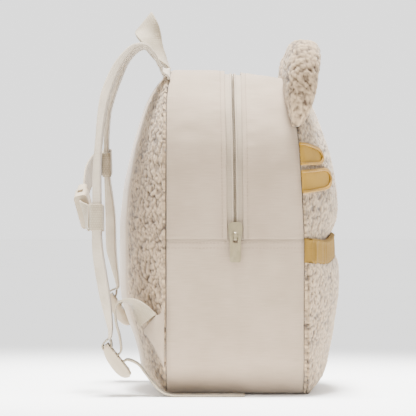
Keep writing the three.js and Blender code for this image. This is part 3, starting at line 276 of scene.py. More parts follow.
FAR_SHOULDER = [
    (0.53, 0.081, 1.003, 0.8, 0.36),
    (0.548, 0.188, 1.062, 0.85, 0.42),
    (0.575, 0.34, 1.092, 0.92, 0.45),
    (0.6, 0.48, 1.086, 1, 0.5),
    (0.64, 0.64, 1.052, 1, 0.55),
    (0.69, 0.785, 0.985, 1, 0.6),
    (0.74, 0.888, 0.922, 1, 0.6),
    (0.765, 0.931, 0.886, 1, 0.6),
    (0.791, 0.956, 0.827, 1, 0.55),
    (0.809, 0.965, 0.778, 1, 0.55),
    (0.826, 0.958, 0.719, 1, 0.55),
    (0.843, 0.95, 0.657, 1, 0.7),
    (0.861, 0.925, 0.597, 1, 1),
    (0.87, 0.907, 0.545, 1, 1.15),
    (0.878, 0.903, 0.492, 1, 1.2),
    (0.887, 0.892, 0.433, 1, 1.15),
    (0.887, 0.852, 0.383, 0.9, 0.8),
    (0.878, 0.81, 0.335, 0.75, 0.5),
    (0.87, 0.8, 0.311, 0.62, 0.36),
]
# Webbing routes: across, back and height as above, then the direction of the width
NEAR_ADJUSTER = [
    (0.922, 0.356, 0.257, 0.75, 0.45, -0.48),
    (0.913, 0.469, 0.28, 0.92, 0.25, -0.3),
    (0.904, 0.581, 0.289, 1, 0.1, -0.1),
    (0.9, 0.672, 0.286, 1, 0, 0),
    (0.896, 0.722, 0.27, 1, 0, 0),
    (0.896, 0.725, 0.246, 1, 0, 0),
    (0.891, 0.705, 0.216, 1, 0, 0),
    (0.883, 0.662, 0.18, 1, 0, 0),
]
FAR_ADJUSTER = [
    (0.922, 0.34, 0.248, 0.75, 0.45, -0.48),
    (0.91, 0.45, 0.265, 0.92, 0.25, -0.3),
    (0.89, 0.58, 0.275, 1, 0, 0),
]
NEAR_TAIL = [
    (0.878, 0.4, 0.097, 1, 0, 0),
    (0.885, 0.302, 0.071, 1, 0, 0),
    (0.905, 0.19, 0.041, 1, 0, 0),
    (0.915, 0.07, 0.016, 1, 0, 0),
    (0.915, -0.06, 0.005, 1, 0, 0),
    (0.915, -0.25, 0.0035, 1, 0, 0),
    (0.915, -0.6, 0.0035, 1, 0, 0),
    (0.915, -1.1, 0.0035, 1, 0, 0),
]
FAR_TAIL = [
    (0.86, 0.47, 0.2, 1, 0, 0),
    (0.85, 0.35, 0.16, 1, 0, 0),
    (0.85, 0.28, 0.113, 1, 0, 0),
    (0.85, 0.26, 0.067, 1, 0, 0),
]
# Webbing wrapped through a ladder lock: along and over, in shares of its bend and its drop
LOCK_WRAP = [
    (1.15, 1.8), (1, 0.4), (0.97, -0.4), (0.7, -0.9), (0, -1.08),
    (-0.7, -0.9), (-0.97, -0.4), (-1, 0.4), (-1.15, 1.8),
]
NEAR_LOCK = {"place": (0.87, 0.684, 0.109), "fall": (-0.624, -0.781)}
FAR_LOCK = {"place": (0.87, 0.749, 0.239), "fall": (-0.576, -0.817)}
WING_TIP_HIGH = (0.983, 0.144, 0.247)
WING_TIP_LOW = (0.87, 0.335, 0.2)
CHEST_BUCKLE = {"place": (-0.34, 1.2, 0.578), "rise": 0.24, "lean": 0.25}
FAR_CHEST = [(0.56, 1.1, 0.71), (0.4, 1.155, 0.692), (0.2, 1.2, 0.665), (0.02, 1.215, 0.63)]
BUCKLE_HALF = (SOCKET_LENGTH + PLUG_LENGTH) / 2
BUCKLE_LEAD = 4 * MM
# Both straps, with the lengths that their webbing was cut to and its last two places along the buckle
STRAPS = {
    "left": {
        "side": -1, "shoulder": NEAR_SHOULDER, "lock": NEAR_LOCK,
        "adjuster": NEAR_ADJUSTER, "tail": NEAR_TAIL, "webbing": 0.26,
        "loop_height": 0.541, "chest": [], "chest_webbing": 0.06,
        "buckle": (-BUCKLE_HALF - BUCKLE_LEAD, -BUCKLE_HALF - CLEARANCE),
    },
    "right": {
        "side": 1, "shoulder": FAR_SHOULDER, "lock": FAR_LOCK,
        "adjuster": FAR_ADJUSTER, "tail": FAR_TAIL, "webbing": 0.15,
        "loop_height": 0.719, "chest": FAR_CHEST, "chest_webbing": 0.14,
        "buckle": (BUCKLE_HALF + CLEARANCE + BUCKLE_LEAD, BUCKLE_HALF + 2 * CLEARANCE),
    },
}
# Half of the handle: across, back, rise and turn
HANDLE_ROUTE = [
    (1, 0, 0, 0), (1, 0.02, 0.06, 0.05), (0.98, 0.07, 0.13, 0.15), (0.93, 0.175, 0.27, 0.34),
    (0.82, 0.3, 0.48, 0.47), (0.66, 0.38, 0.66, 0.58), (0.38, 0.455, 0.86, 0.85), (0, 0.49, 0.95, 1),
]


# Numbers
def smooth(share):
    held = np.clip(share, 0, 1)
    return held * held * (3 - 2 * held)


def unit(vectors):
    vectors = np.asarray(vectors, float)
    return vectors / np.linalg.norm(vectors, axis=-1, keepdims=True)


def hump(values, middle, spread):
    """A smooth hump of height 1 round a middle value."""
    return np.exp(-((values - middle) / spread) ** 2)


def travelled(points):
    """Distance along a path at each of its points."""
    return np.concatenate([[0], np.cumsum(np.linalg.norm(np.diff(points, axis=0), axis=1))])


def read_at(spots, length, values):
    """The rows of values at spots along a path."""
    return np.stack([np.interp(spots, length, column) for column in values.T], axis=1)


def lattice(cells, seed):
    """A random number from 0 to 1 for each whole-numbered cell, the same on each run."""
    whole = cells.astype(np.int64)
    mixed = whole[..., 0] * 73856093 ^ whole[..., 1] * 19349663 ^ whole[..., 2] * 83492791
    mixed = (mixed ^ seed * 97531) & 0x7FFFFFFF
    mixed = (mixed ^ mixed >> 13) * 1274126177 & 0x7FFFFFFF
    return ((mixed ^ mixed >> 15) & 0xFFFF) / 0xFFFF


def noise(points, size, seed=0):
    """Smooth noise from 0 to 1, with its random values a size apart."""
    place = points / size
    base = np.floor(place)
    part = smooth(place - base)
    total = np.zeros(points.shape[:-1])
    for corner in itertools.product((0, 1), repeat=3):
        weight = np.prod(np.where(corner, part, 1 - part), axis=-1)
        total += weight * lattice(base + corner, seed)
    return total


def tufts(points, size, seed):
    """Height from 0 to 1 of round tufts about a size apart, with creases between them."""
    place = points / size
    base = np.floor(place)
    nearest = np.full(points.shape[:-1], 9.0)
    for step in itertools.product((-1, 0, 1), repeat=3):
        cell = base + step
        centre = cell + np.stack([lattice(cell, seed + axis) for axis in range(3)], axis=-1)
        nearest = np.minimum(nearest, np.sum((centre - place) ** 2, axis=-1))
    return np.clip(1 - nearest / 0.62, 0, 1)


def pile_height(points):
    """Height of the curly pile, from 0 to 1."""
    warp = np.stack([noise(points, 5 * MM, seed) for seed in (11, 12, 13)], axis=-1) - 0.5
    bent = points + warp * 3.2 * MM
    large = tufts(bent, TUFT, 21)
    small = tufts(bent, TUFT * 0.52, 31)
    return 0.55 * large + 0.33 * small + 0.12 * noise(points, 14 * MM, 5)


# Meshes
def make(name, points, faces, uvs, materials, face_materials=None, pile=None):
    """A smooth-shaded piece that rides on the bag; uvs has one pair for each corner of each face."""
    mesh = bpy.data.meshes.new(name)
    mesh.from_pydata([tuple(point) for point in points], [], faces)
    layer = mesh.uv_layers.new(name="size")
    layer.data.foreach_set("uv", np.asarray(uvs, np.float32).ravel())
    for material in materials:
        mesh.materials.append(material)
    if face_materials is not None:
        mesh.polygons.foreach_set("material_index", face_materials)
    if pile is not None:
        mesh.attributes.new("pile", "FLOAT", "POINT").data.foreach_set("value", pile)
    mesh.polygons.foreach_set("use_smooth", [True] * len(faces))
    mesh.update()
    piece = bpy.data.objects.new(name, mesh)
    bpy.context.scene.collection.objects.link(piece)
    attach(piece, "bag")
    return piece


def grid_steps(points):
    """Distances along the rows and the columns of a grid, as texture coordinates in metres."""
    across = np.linalg.norm(np.diff(points, axis=1), axis=2)
    along = np.linalg.norm(np.diff(points, axis=0), axis=2)
    u = np.concatenate([np.zeros((len(points), 1)), np.cumsum(across, axis=1)], axis=1)
    u -= u[:, [u.shape[1] // 2]]
    v = np.concatenate([np.zeros((1, points.shape[1])), np.cumsum(along, axis=0)])
    return np.stack([u, v], axis=-1)


def shell(name, outer, inner, material, stride=4, pile=None, flip=False):
    """A sheet with a fine outer face and a coarser inner one, closed round its edge."""
    rows, columns = outer.shape[:2]
    fine = np.arange(rows * columns).reshape(rows, columns)
    low = inner[::stride, ::stride]
    coarse = rows * columns + np.arange(low.shape[0] * low.shape[1]).reshape(low.shape[:2])
    faces = np.stack([fine[:-1, :-1], fine[:-1, 1:], fine[1:, 1:], fine[1:, :-1]], -1).reshape(-1, 4)
    faces = faces.tolist()
    faces += np.stack(
        [coarse[:-1, :-1], coarse[1:, :-1], coarse[1:, 1:], coarse[:-1, 1:]], -1
    ).reshape(-1, 4).tolist()
    rims = [
        (fine[0, ::-1], coarse[0, ::-1]), (fine[-1], coarse[-1]),
        (fine[:, 0], coarse[:, 0]), (fine[::-1, -1], coarse[::-1, -1]),
    ]
    for edge, back in rims:
        for step in range(len(back) - 1):
            run = edge[step * stride:(step + 1) * stride + 1].tolist()
            faces.append(run[::-1] + [int(back[step]), int(back[step + 1])])
    if flip:
        faces = [face[::-1] for face in faces]
    size = grid_steps(outer)
    places = np.concatenate([size.reshape(-1, 2), size[::stride, ::stride].reshape(-1, 2)])
    points = np.concatenate([outer.reshape(-1, 3), low.reshape(-1, 3)])
    heights = None
    if pile is not None:
        heights = np.concatenate([pile.ravel(), np.zeros(low.shape[0] * low.shape[1])])
    uvs = places[list(itertools.chain.from_iterable(faces))]
    return make(name, points, faces, uvs, [material], pile=heights)


def tube_parts(rings, looped=False, start=0):
    """Faces and texture coordinates of a tube through rings of points, with its two ends closed."""
    rows, columns = rings.shape[:2]
    around = np.linalg.norm(np.roll(rings[0], -1, axis=0) - rings[0], axis=1)
    around = np.concatenate([[0], np.cumsum(around)])
    along = travelled(rings.mean(axis=1))
    faces, uvs = [], []
    for row in range(rows if looped else rows - 1):
        up = (row + 1) % rows
        reach = along[row] + (along[row + 1] - along[row] if row + 1 < rows else around[1])
        for column in range(columns):
            side = (column + 1) % columns
            faces.append([start + row * columns + column, start + row * columns + side,
                          start + up * columns + side, start + up * columns + column])
            uvs += [(around[column], along[row]), (around[column + 1], along[row]),
                    (around[column + 1], reach), (around[column], reach)]
    if not looped:
        faces.append([start + column for column in range(columns)][::-1])
        faces.append([start + (rows - 1) * columns + column for column in range(columns)])
        uvs += [(0, 0)] * columns + [(0, along[-1])] * columns
    return faces, uvs


def tubes(name, ring_sets, material, looped=False):
    """One piece made of several closed tubes."""
    points, faces, uvs = [], [], []
    for rings in ring_sets:
        more, places = tube_parts(rings, looped, sum(map(len, points)))
        points.append(rings.reshape(-1, 3))
        faces += more
        uvs += places
    return outward(make(name, np.concatenate(points), faces, uvs, [material]))


def outward(piece):
    """Turns the faces of a closed piece to point out."""
    shape = bmesh.new()
    shape.from_mesh(piece.data)
    bmesh.ops.recalc_face_normals(shape, faces=shape.faces)
    shape.to_mesh(piece.data)
    shape.free()
    return piece


def normals_of(points):
    """Unit normals of a grid of points."""
    down = np.gradient(points, axis=0)
    side = np.gradient(points, axis=1)
    return unit(np.cross(side, down) + 1e-15)


# Curves
def curve(points, places, uniform=False):
    """Points of a smooth curve through the given ones, at places from 0 to 1."""
    points = np.asarray(points, float)
    last = len(points) - 1
    ends = np.concatenate([[2 * points[0] - points[1]], points, [2 * points[-1] - points[-2]]])
    step = np.clip(np.floor(places * last).astype(int), 0, last - 1)
    part = (places * last - step)[:, None]
    p0, p1, p2, p3 = (ends[step + index] for index in range(4))
    if uniform:
        start, end = 0.5 * (p2 - p0), 0.5 * (p3 - p1)
    else:
        # Millimetres, so that the spacing is weighed as in the frame's own routes
        d0, d1, d2 = (
            np.sqrt(np.linalg.norm((b - a) / MM, axis=1, keepdims=True) + 1e-9)
            for a, b in ((p0, p1), (p1, p2), (p2, p3))
        )
        start = ((p1 - p0) / d0 - (p2 - p0) / (d0 + d1) + (p2 - p1) / d1) * d1
        end = ((p2 - p1) / d1 - (p3 - p1) / (d1 + d2) + (p3 - p2) / d2) * d1
    second = -3 * p1 + 3 * p2 - 2 * start - end
    third = 2 * p1 - 2 * p2 + start + end
    return p1 + start * part + second * part ** 2 + third * part ** 3


def ribbon_frames(rows, spacing=1.8 * MM):
    """Places and directions along a ribbon; a row holds its place, width direction, width, thickness."""
    at, wide, width, thick = (np.array([row[column] for row in rows], float) for column in range(4))
    steps = max(8, int(np.linalg.norm(np.diff(at, axis=0), axis=1).sum() / spacing / (len(rows) - 1)) + 1)
    places = np.linspace(0, 1, (len(rows) - 1) * steps + 1)
    tangent = unit(curve(at, np.minimum(places + 1e-4, 1)) - curve(at, np.maximum(places - 1e-4, 0)))
    normal = unit(np.cross(tangent, curve(wide, places, uniform=True)))
    knots = np.linspace(0, 1, len(rows))
    return {
        "at": curve(at, places),
        "tangent": tangent,
        "normal": normal,
        "wide": np.cross(normal, tangent),
        "width": np.interp(places, knots, width),
        "thick": np.interp(places, knots, thick),
    }


def section(frames, corner, flats=7, steps=4):
    """Rings of a flat ribbon with rounded edges."""
    width = frames["width"] / 2
    thick = frames["thick"] / 2
    radius = np.minimum(corner, thick * 0.98)
    sides = []
    turns = np.linspace(0, math.pi / 2, steps)
    for quarter, (x, y) in enumerate([(1, 1), (-1, 1), (-1, -1), (1, -1)]):
        for turn in turns + quarter * math.pi / 2:
            sides.append((x * (width - radius) + radius * math.cos(turn),
                          y * (thick - radius) + radius * math.sin(turn)))
        if quarter in (0, 2):
            reach = x * (width - radius)
            for share in np.linspace(0, 1, flats + 2)[1:-1]:
                sides.append((reach * (1 - 2 * share), y * thick))
    return np.stack([
        frames["at"] + frames["wide"] * across[:, None] + frames["normal"] * over[:, None]
        for across, over in sides
    ], axis=1)


def ribbed(rows):
    """Frames of a run of webbing, its ribs standing out across it."""
    frames = ribbon_frames(rows, RIB_PITCH / 4)
    ribs = np.abs(np.sin(math.pi * travelled(frames["at"]) / RIB_PITCH))
    frames["thick"] = frames["thick"] + RIB_HEIGHT * (2 * ribs - 1)
    return frames


def webbing_row(at, wide):
    return (at, wide, WEBBING_WIDTH, WEBBING_THICKNESS)


def webbing_piece(name, frames, looped=False):
    """A run of webbing."""
    piece = tubes(name, [section(frames, WEBBING_CORNER)], WEBBING, looped)
    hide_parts(name)


def strap_place(side, across, back, height):
    return np.array([side * across * HALF_WIDTH, REAR_DEPTH + back * STRAP_REACH, height * BACK_HEIGHT])


# Outline of the body
def half_width_at(z, height):
    below = np.maximum(0, BASE_RADIUS - z)
    above = np.maximum(0, z - height + TOP_RADIUS)
    low = BASE_RADIUS - np.sqrt(np.maximum(0, BASE_RADIUS ** 2 - below ** 2))
    high = TOP_RADIUS - np.sqrt(np.maximum(0, TOP_RADIUS ** 2 - above ** 2))
    return HALF_WIDTH - low - high


def rear_seam(z):
    return REAR_DEPTH * np.interp(z / BACK_HEIGHT, REAR_SEAM["height"], REAR_SEAM["depth"])


def front_seam(z):
    return FRONT_DEPTH * np.interp(z / FRONT_HEIGHT, FRONT_SEAM["height"], FRONT_SEAM["depth"])


def outline(part, share, height):
    """Place and outward direction on half of the outline, by named parts."""
    flat_base, flat_top = HALF_WIDTH - BASE_RADIUS, HALF_WIDTH - TOP_RADIUS
    if part == "base":
        return flat_base * share, 0, 0, -1
    if part == "top":
        return flat_top * (1 - share), height, 0, 1
    if part == "low side":
        return HALF_WIDTH, BASE_RADIUS + (SEAM_HEIGHT - BASE_RADIUS) * share, 1, 0
    if part == "high side":
        return HALF_WIDTH, SEAM_HEIGHT + (height - TOP_RADIUS - SEAM_HEIGHT) * share, 1, 0
    low = part == "base corner"
    radius = BASE_RADIUS if low else TOP_RADIUS
    angle = math.pi / 2 * (share - 1 if low else share)
    x = (flat_base if low else flat_top) + radius * math.cos(angle)
    z = (BASE_RADIUS if low else height - TOP_RADIUS) + radius * math.sin(angle)
    return x, z, math.cos(angle), math.sin(angle)


# Gusset and zip
def stations(parts, falling, spacing=2 * MM):
    """Places along both halves of the outline, from the near side to the far one, in an even number
    of steps; the parts are given from the middle outwards, with their lengths."""
    half = []
    for part, length in parts:
        shares = np.linspace(0, 1, max(2, round(length / spacing)) + 1)
        half += [(part, share) for share in (shares[::-1] if falling else shares)[1 if half else 0:]]
    return [(-1, *place) for place in reversed(half)] + [(1, *place) for place in half[1:]]


LOWER = stations([
    ("base", HALF_WIDTH - BASE_RADIUS),
    ("base corner", BASE_RADIUS * math.pi / 2),
    ("low side", SEAM_HEIGHT - BASE_RADIUS),
], falling=False)
UPPER = stations([
    ("top", HALF_WIDTH - TOP_RADIUS),
    ("top corner", TOP_RADIUS * math.pi / 2),
    ("high side", BACK_HEIGHT - TOP_RADIUS - SEAM_HEIGHT),
], falling=True)


def band(places, forward, out=0.0):
    """Points of the band between the two seams, and its outward directions; forward runs from the
    rear seam to the front one and may differ from station to station."""
    rear = np.array([outline(part, share, BACK_HEIGHT) for _, part, share in places])
    front = np.array([outline(part, share, FRONT_HEIGHT) for _, part, share in places])
    side = np.array([[place[0]] for place in places])
    rear_y, front_y = rear_seam(rear[:, [1]]), -front_seam(front[:, [1]])
    forward = forward(rear_y, front_y)
    forward = np.broadcast_to(forward, (len(places), forward.shape[-1]))
    z = rear[:, [1]]
    rising = smooth(z / (BASE_RADIUS * 1.5))
    topping = smooth((z - BACK_HEIGHT + TOP_RADIUS) / TOP_RADIUS)
    crown = rising * (GUSSET_CROWN + (GUSSET_TOP_CROWN - GUSSET_CROWN) * topping)
    lift = out + crown * (1 - (2 * forward - 1) ** 2)
    points = np.stack([
        side * (rear[:, [0]] + (front[:, [0]] - rear[:, [0]]) * forward + rear[:, [2]] * lift),
        rear_y + (front_y - rear_y) * forward,
        z + (front[:, [1]] - z) * forward + rear[:, [3]] * lift,
    ], axis=-1)
    out_way = np.stack([side * rear[:, [2]], np.zeros_like(side), rear[:, [3]]], axis=-1)
    return points, np.broadcast_to(out_way, points.shape).astype(float)


def zip_forward(rear_y, front_y, offset):
    """Forward share of lines beside the zip, at offsets from its middle towards the face."""
    middle = (rear_y + front_y) / 2 * ZIP_LEAN
    return (rear_y - middle + offset) / (rear_y - front_y)


def ripple(points, size, stretch, seed):
    """Uneven ripples, long in one direction, from -1 to 1."""
    return 2 * noise(points * np.array(stretch), size, seed) - 1


def cloth_relief(points, rear_gap, front_gap):
    """Soft dents, seam puckers and rolled edges of the woven band."""
    relief = sum(depth * ripple(points, *facts) for depth, *facts in BAND_DENTS)
    for gap in (rear_gap, front_gap):
        relief += PUCKER_DEPTH * np.exp(-gap / PUCKER_REACH) * ripple(points, 7 * MM, (1, 0.35, 1), 8)
        relief -= SEAM_DEPTH * (1 - smooth(gap / EDGE_REACH))
    slanted = points + np.roll(points, 1, axis=-1) * PULL_SLANT
    pulls = hump(front_gap, PULL_INSET, PULL_SPREAD)
    return relief + PULL_DEPTH * pulls * ripple(slanted, 18 * MM, (1, 0.5, 1), 9)


def seam_roll(points):
    """How far cloth sinks into the seam between the base band and the two upper bands."""
    return -SEAM_DEPTH * (1 - smooth(np.abs(points[..., 2] - SEAM_HEIGHT) / SEAM_REACH))


def woven_band(name, places, forward, zip_gap=None):
    points, out_way = band(places, forward)
    rear_y, front_y = rear_seam(points[..., 2]), -front_seam(points[..., 2])
    relief = cloth_relief(points, np.abs(rear_y - points[..., 1]), np.abs(points[..., 1] - front_y))
    relief += seam_roll(points)
    if zip_gap is not None:
        relief += ZIP_FOLD_HEIGHT * hump(zip_gap, 0, ZIP_FOLD_SPREAD)
        relief -= STITCH_DENT * hump(zip_gap, ZIP_STITCH_INSET, STITCH_DENT_SPREAD)
        window = hump(zip_gap, ZIP_PUCKER_INSET, ZIP_PUCKER_INSET / 2)
        relief += STITCH_DENT * window * ripple(points, 4.2 * MM, (1, 0.3, 1), 14)
    else:
        relief -= BASE_DENT * hump(SEAM_HEIGHT - points[..., 2], BASE_DENT_INSET, STITCH_DENT_SPREAD)
    relief *= smooth(points[..., 2] / RELIEF_RISE)
    outer = points + out_way * relief[..., None]
    inner = outer - out_way * GUSSET_WALL
    return shell(name, outer, inner, WOVEN, stride=2, flip=True), outer, out_way


def even(count, stride=2):
    """A number of steps that a stride divides."""
    return int(math.ceil(count / stride) * stride)


def stitches(name, lines, node, material):
    """Rows of stitches; each line has its points and its outward directions."""
    rings = []
    shares = np.array([-1, -0.6, 0, 0.6, 1])
    turns = np.linspace(0, 2 * math.pi, 7)[:-1]
    for points, ways in lines:
        frames = path_frames(points, ways, STITCH_PITCH)
        for at, tangent, way, side in zip(*(frames[key] for key in ("at", "tangent", "way", "side"))):
            centre = at + tangent * shares[:, None] * STITCH_LENGTH / 2
            radius = (1.05 - shares ** 2) ** 0.5 * STITCH_THICKNESS / 2
            ring = way * np.sin(turns)[:, None] + side * np.cos(turns)[:, None]
            rings.append(centre[:, None] + ring[None] * radius[:, None, None])
    piece = tubes(name, rings, material)
    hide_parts(node)


def line_at(grid, values, value):
    """The points of a grid's rows where its rising values reach a value."""
    return np.array([
        [np.interp(value, line, row[:, axis]) for axis in range(3)] for line, row in zip(values, grid)
    ])


def gusset():
    columns = np.linspace(0, 1, even(62) + 1)
    low, outer, way = woven_band("gusset_bottom", LOWER, lambda rear_y, front_y: columns)
    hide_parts("gusset_bottom")
    ends = even(12)
    lines = []
    for end in (outer[ends::-1], outer[-ends - 1:]):
        rows = end.transpose(1, 0, 2)
        for inset in BASE_STITCH_INSETS:
            line = line_at(rows, rows[..., 2], SEAM_HEIGHT - inset)[1:-1]
            out = way[0 if line[0, 0] < 0 else -1, 0]
            lines.append((line, np.tile(out, (len(line), 1))))
    stitches("gusset_bottom_stitches", lines, "gusset_bottom", THREAD)
    edge = ZIP_OPENING / 2
    for name, sign in (("gusset_top_rear", -1), ("gusset_top_front", 1)):
        def forward(rear_y, front_y):
            at_edge = zip_forward(rear_y, front_y, sign * edge)
            far = 0.0 if sign < 0 else 1.0
            return at_edge + (far - at_edge) * np.linspace(0, 1, even(30) + 1) ** 1.15
        points, _ = band(UPPER, forward)
        gap = np.abs(points[..., 1] - points[:, [0], 1])
        piece, outer, way = woven_band(name, UPPER, forward, gap)
        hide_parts(name)
        line = line_at(outer, gap, ZIP_STITCH_INSET)
        stitches(f"{name}_stitches", [(line, way[:, 0])], name, THREAD)


def zip_chain():
    """Two tapes, the two rolled edges over the coil and the teeth between them."""
    level = -GUSSET_WALL - CLEARANCE
    pieces = []
    for name, sign in (("rear", -1), ("front", 1)):
        lap = sign * (ZIP_OPENING / 2 + TAPE_LAP)
        offsets = np.linspace(sign * COIL_GROOVE / 2, lap, 7)
        outer, way = band(UPPER, lambda r, f: zip_forward(r, f, offsets), level)
        piece = shell(f"zip_tape_{name}", outer, outer - way * TAPE_WALL, ZIP_TAPE, 2)
        pieces.append(outward(piece))
        middle = sign * (COIL_GROOVE + COIL_HALF) / 2
        half = (COIL_HALF - COIL_GROOVE) / 2
        turns = np.linspace(0, 2 * math.pi, 11)[:-1]
        rings = np.stack([
            band(UPPER, lambda r, f: zip_forward(r, f, np.array([middle + half * math.cos(turn)])),
                 level + COIL_RADIUS * math.sin(turn) + COIL_LIFT)[0][:, 0]
            for turn in turns
        ], axis=1)
        pieces.append(tubes(f"zip_roll_{name}", [rings], ZIP_TAPE))
    centre, way = band(UPPER, lambda r, f: zip_forward(r, f, np.array([0.0])), level + TOOTH_LIFT)
    path, way = centre[:, 0], way[:, 0]
    length = travelled(path)
    spots = np.arange(0, length[-1], COIL_PITCH)
    at = read_at(spots, length, path)
    up = unit(read_at(spots, length, way))
    along = unit(np.gradient(at, axis=0))
    teeth = []
    turns = np.linspace(0, 2 * math.pi, 7)[:-1, None]
    for place, run, rise in zip(at, along, up):
        ends = place + np.array([[0, -TOOTH_LENGTH / 2, 0], [0, TOOTH_LENGTH / 2, 0]])
        ring = (run * np.cos(turns) + rise * np.sin(turns)) * TOOTH_RADIUS
        teeth.append(ends[:, None] + ring[None])
    pieces.append(tubes("zip_teeth", teeth, ZIP_TEETH))
    for piece in pieces:
        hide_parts("zip_chain")


# Panels
def profile(table, share, softness=0.02):
    """A value read from a table along the height, with its corners rounded off."""
    steps = np.linspace(-softness, softness, 5)
    return sum(np.interp(share + step, table["height"], table["bulge"]) for step in steps) / len(steps)


def domed(x, z, height, seam, stand, bulge):
    """Depth of a panel that is full in the middle and falls off to its seams."""
    across = np.minimum(1, np.abs(x) / half_width_at(z, height))
    return seam(z) + stand + np.maximum(0, bulge - stand) * (1 - across ** DOME_POWER)


def back_depth(x, z):
    bulge = BACK_BULGE * profile(BACK_PROFILE, z / BACK_HEIGHT)
    return domed(x, z, BACK_HEIGHT, rear_seam, PANEL_STAND, bulge)


def front_depth(x, z):
    bulge = FRONT_BULGE * profile(FRONT_PROFILE, z / FRONT_HEIGHT)
    return domed(x, z, FRONT_HEIGHT, front_seam, PANEL_STAND, bulge)


def panel_heights(height, spacing=PILE_SPACING):
    """Row heights that are even along the outline's edge."""
    low = np.linspace(0, math.pi / 2, int(BASE_RADIUS * math.pi / 2 / spacing) + 1)
    side = np.arange(BASE_RADIUS + spacing, height - TOP_RADIUS, spacing)
    high = np.linspace(0, math.pi / 2, int(TOP_RADIUS * math.pi / 2 / spacing) + 1)
    rows = np.concatenate([
        BASE_RADIUS * (1 - np.cos(low)), side, height - TOP_RADIUS * (1 - np.sin(high)),
    ])
    while (len(rows) + 1) % 4:
        rows = np.delete(rows, len(low) + 3)
    return rows


def across_places(start, end, length, spacing=PILE_SPACING):
    """Shares across a panel, closer together towards its edge."""
    steps = even(length / spacing, 4) + 2
    return np.sin(np.linspace(math.asin(start), math.asin(end), steps + 1))


def edge_gaps(points, open_sides):
    """Distance along the grid from its edges; open_sides are the edges that count."""
    size = grid_steps(points)
    gaps = {
        "left": size[..., 0] - size[:, [0], 0],
        "right": size[:, [-1], 0] - size[..., 0],
        "low": size[..., 1],
        "high": size[[-1], :, 1] - size[..., 1],
    }
    return np.minimum.reduce([gaps[side] for side in open_sides.split()])


def facing(base, side):
    """Normals of a panel's grid that point out of the bag."""
    way = normals_of(base)
    return way * np.sign((way[..., 1] * side).sum())


def tucked(outer, way, tuck):
    """The grid with one more ring of points round it, turned in towards the bag."""
    inset = np.pad(outer, ((1, 1), (1, 1), (0, 0)), mode="edge")
    turned = np.pad(way, ((1, 1), (1, 1), (0, 0)), mode="edge") * tuck
    turned[1:-1, 1:-1] = 0
    return inset - turned


def teddy(name, base, wall, side):
    """A teddy fabric piece on a grid of points, its pile standing out to the given side."""
    way = facing(base, side)
    pile = pile_height(base)
    outer = tucked(base + way * ((pile - PILE_LEVEL) * PILE_DEPTH)[..., None], way, PILE_TUCK)
    gap = edge_gaps(outer, "left right low high")
    thick = PANEL_RIM + (wall - PANEL_RIM) * smooth(gap / PADDING_RAMP)
    way = np.pad(way, ((1, 1), (1, 1), (0, 0)), mode="edge")
    level = np.pad(base, ((1, 1), (1, 1), (0, 0)), mode="edge")
    inner = level - way * thick[..., None]
    pile = np.pad(pile, 1, mode="edge")
    return outward(shell(name, outer, inner, TEDDY, pile=pile))


def back_base(across):
    z = np.repeat(panel_heights(BACK_HEIGHT)[:, None], len(across), axis=1)
    x = across[None] * half_width_at(z, BACK_HEIGHT)
    return np.stack([x, back_depth(x, z), z], axis=-1)


def back_panel():
    share = BACK_PAD_HALF / HALF_WIDTH
    made = []
    for name, start, end in (("left", -1, -share), ("right", share, 1)):
        base = back_base(across_places(start, end, 66 * MM))
        made.append(teddy(f"back_side_{name}", base, BACK_PADDING, 1))
    base = back_base(across_places(-share, share, 132 * MM, 2.2 * MM))[1:-1, 1:-1]
    way = facing(base, 1)
    gap = edge_gaps(base, "left right low high")
    relief = PAD_RISE * smooth(gap / PAD_EDGE) - PAD_SINK
    relief += PAD_DENT * ripple(base, 24 * MM, (1, 1, 0.6), 17)
    relief += PAD_PUCKER * np.exp(-gap / PAD_PUCKER_REACH) * ripple(base, 6 * MM, (0.4, 0.4, 1), 18)
    outer = base + way * relief[..., None]
    made.append(outward(shell("back_pad", outer, base - way * BACK_PADDING, WOVEN, 4)))
    for piece in made:
        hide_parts("back_panel")


def front_panel():
    across = across_places(-1, 1, 250 * MM)
    z = np.repeat(panel_heights(FRONT_HEIGHT)[:, None], len(across), axis=1)
    x = across[None] * half_width_at(z, FRONT_HEIGHT)
    base = np.stack([x, -front_depth(x, z), z], axis=-1)
    piece = teddy("front_panel", base, FRONT_WALL, -1)
    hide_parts("front_panel")


def mouth_height(across):
    """Height of the pocket's mouth: lower at the sides, and lowest where it leaves them."""
    away = np.abs(across)
    sag = POCKET_SAG * hump(away, POCKET_SAG_AT, POCKET_SAG_SPREAD)
    return POCKET_HEIGHT - POCKET_SIDE_DROP * smooth(away / POCKET_DROP_END) - sag


def pocket():
    across = across_places(-1, 1, 250 * MM)
    rows = np.linspace(0, 1, even(150 / 1.2, 4) + 3)[:, None]
    z = rows * mouth_height(across)[None]
    x = across[None] * half_width_at(z, FRONT_HEIGHT)
    bulge = POCKET_BULGE * profile(POCKET_PROFILE, rows)
    base = np.stack([x, -domed(x, z, FRONT_HEIGHT, front_seam, POCKET_STAND, bulge), z], axis=-1)
    piece = teddy("pocket", base, POCKET_WALL, -1)
    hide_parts("pocket")


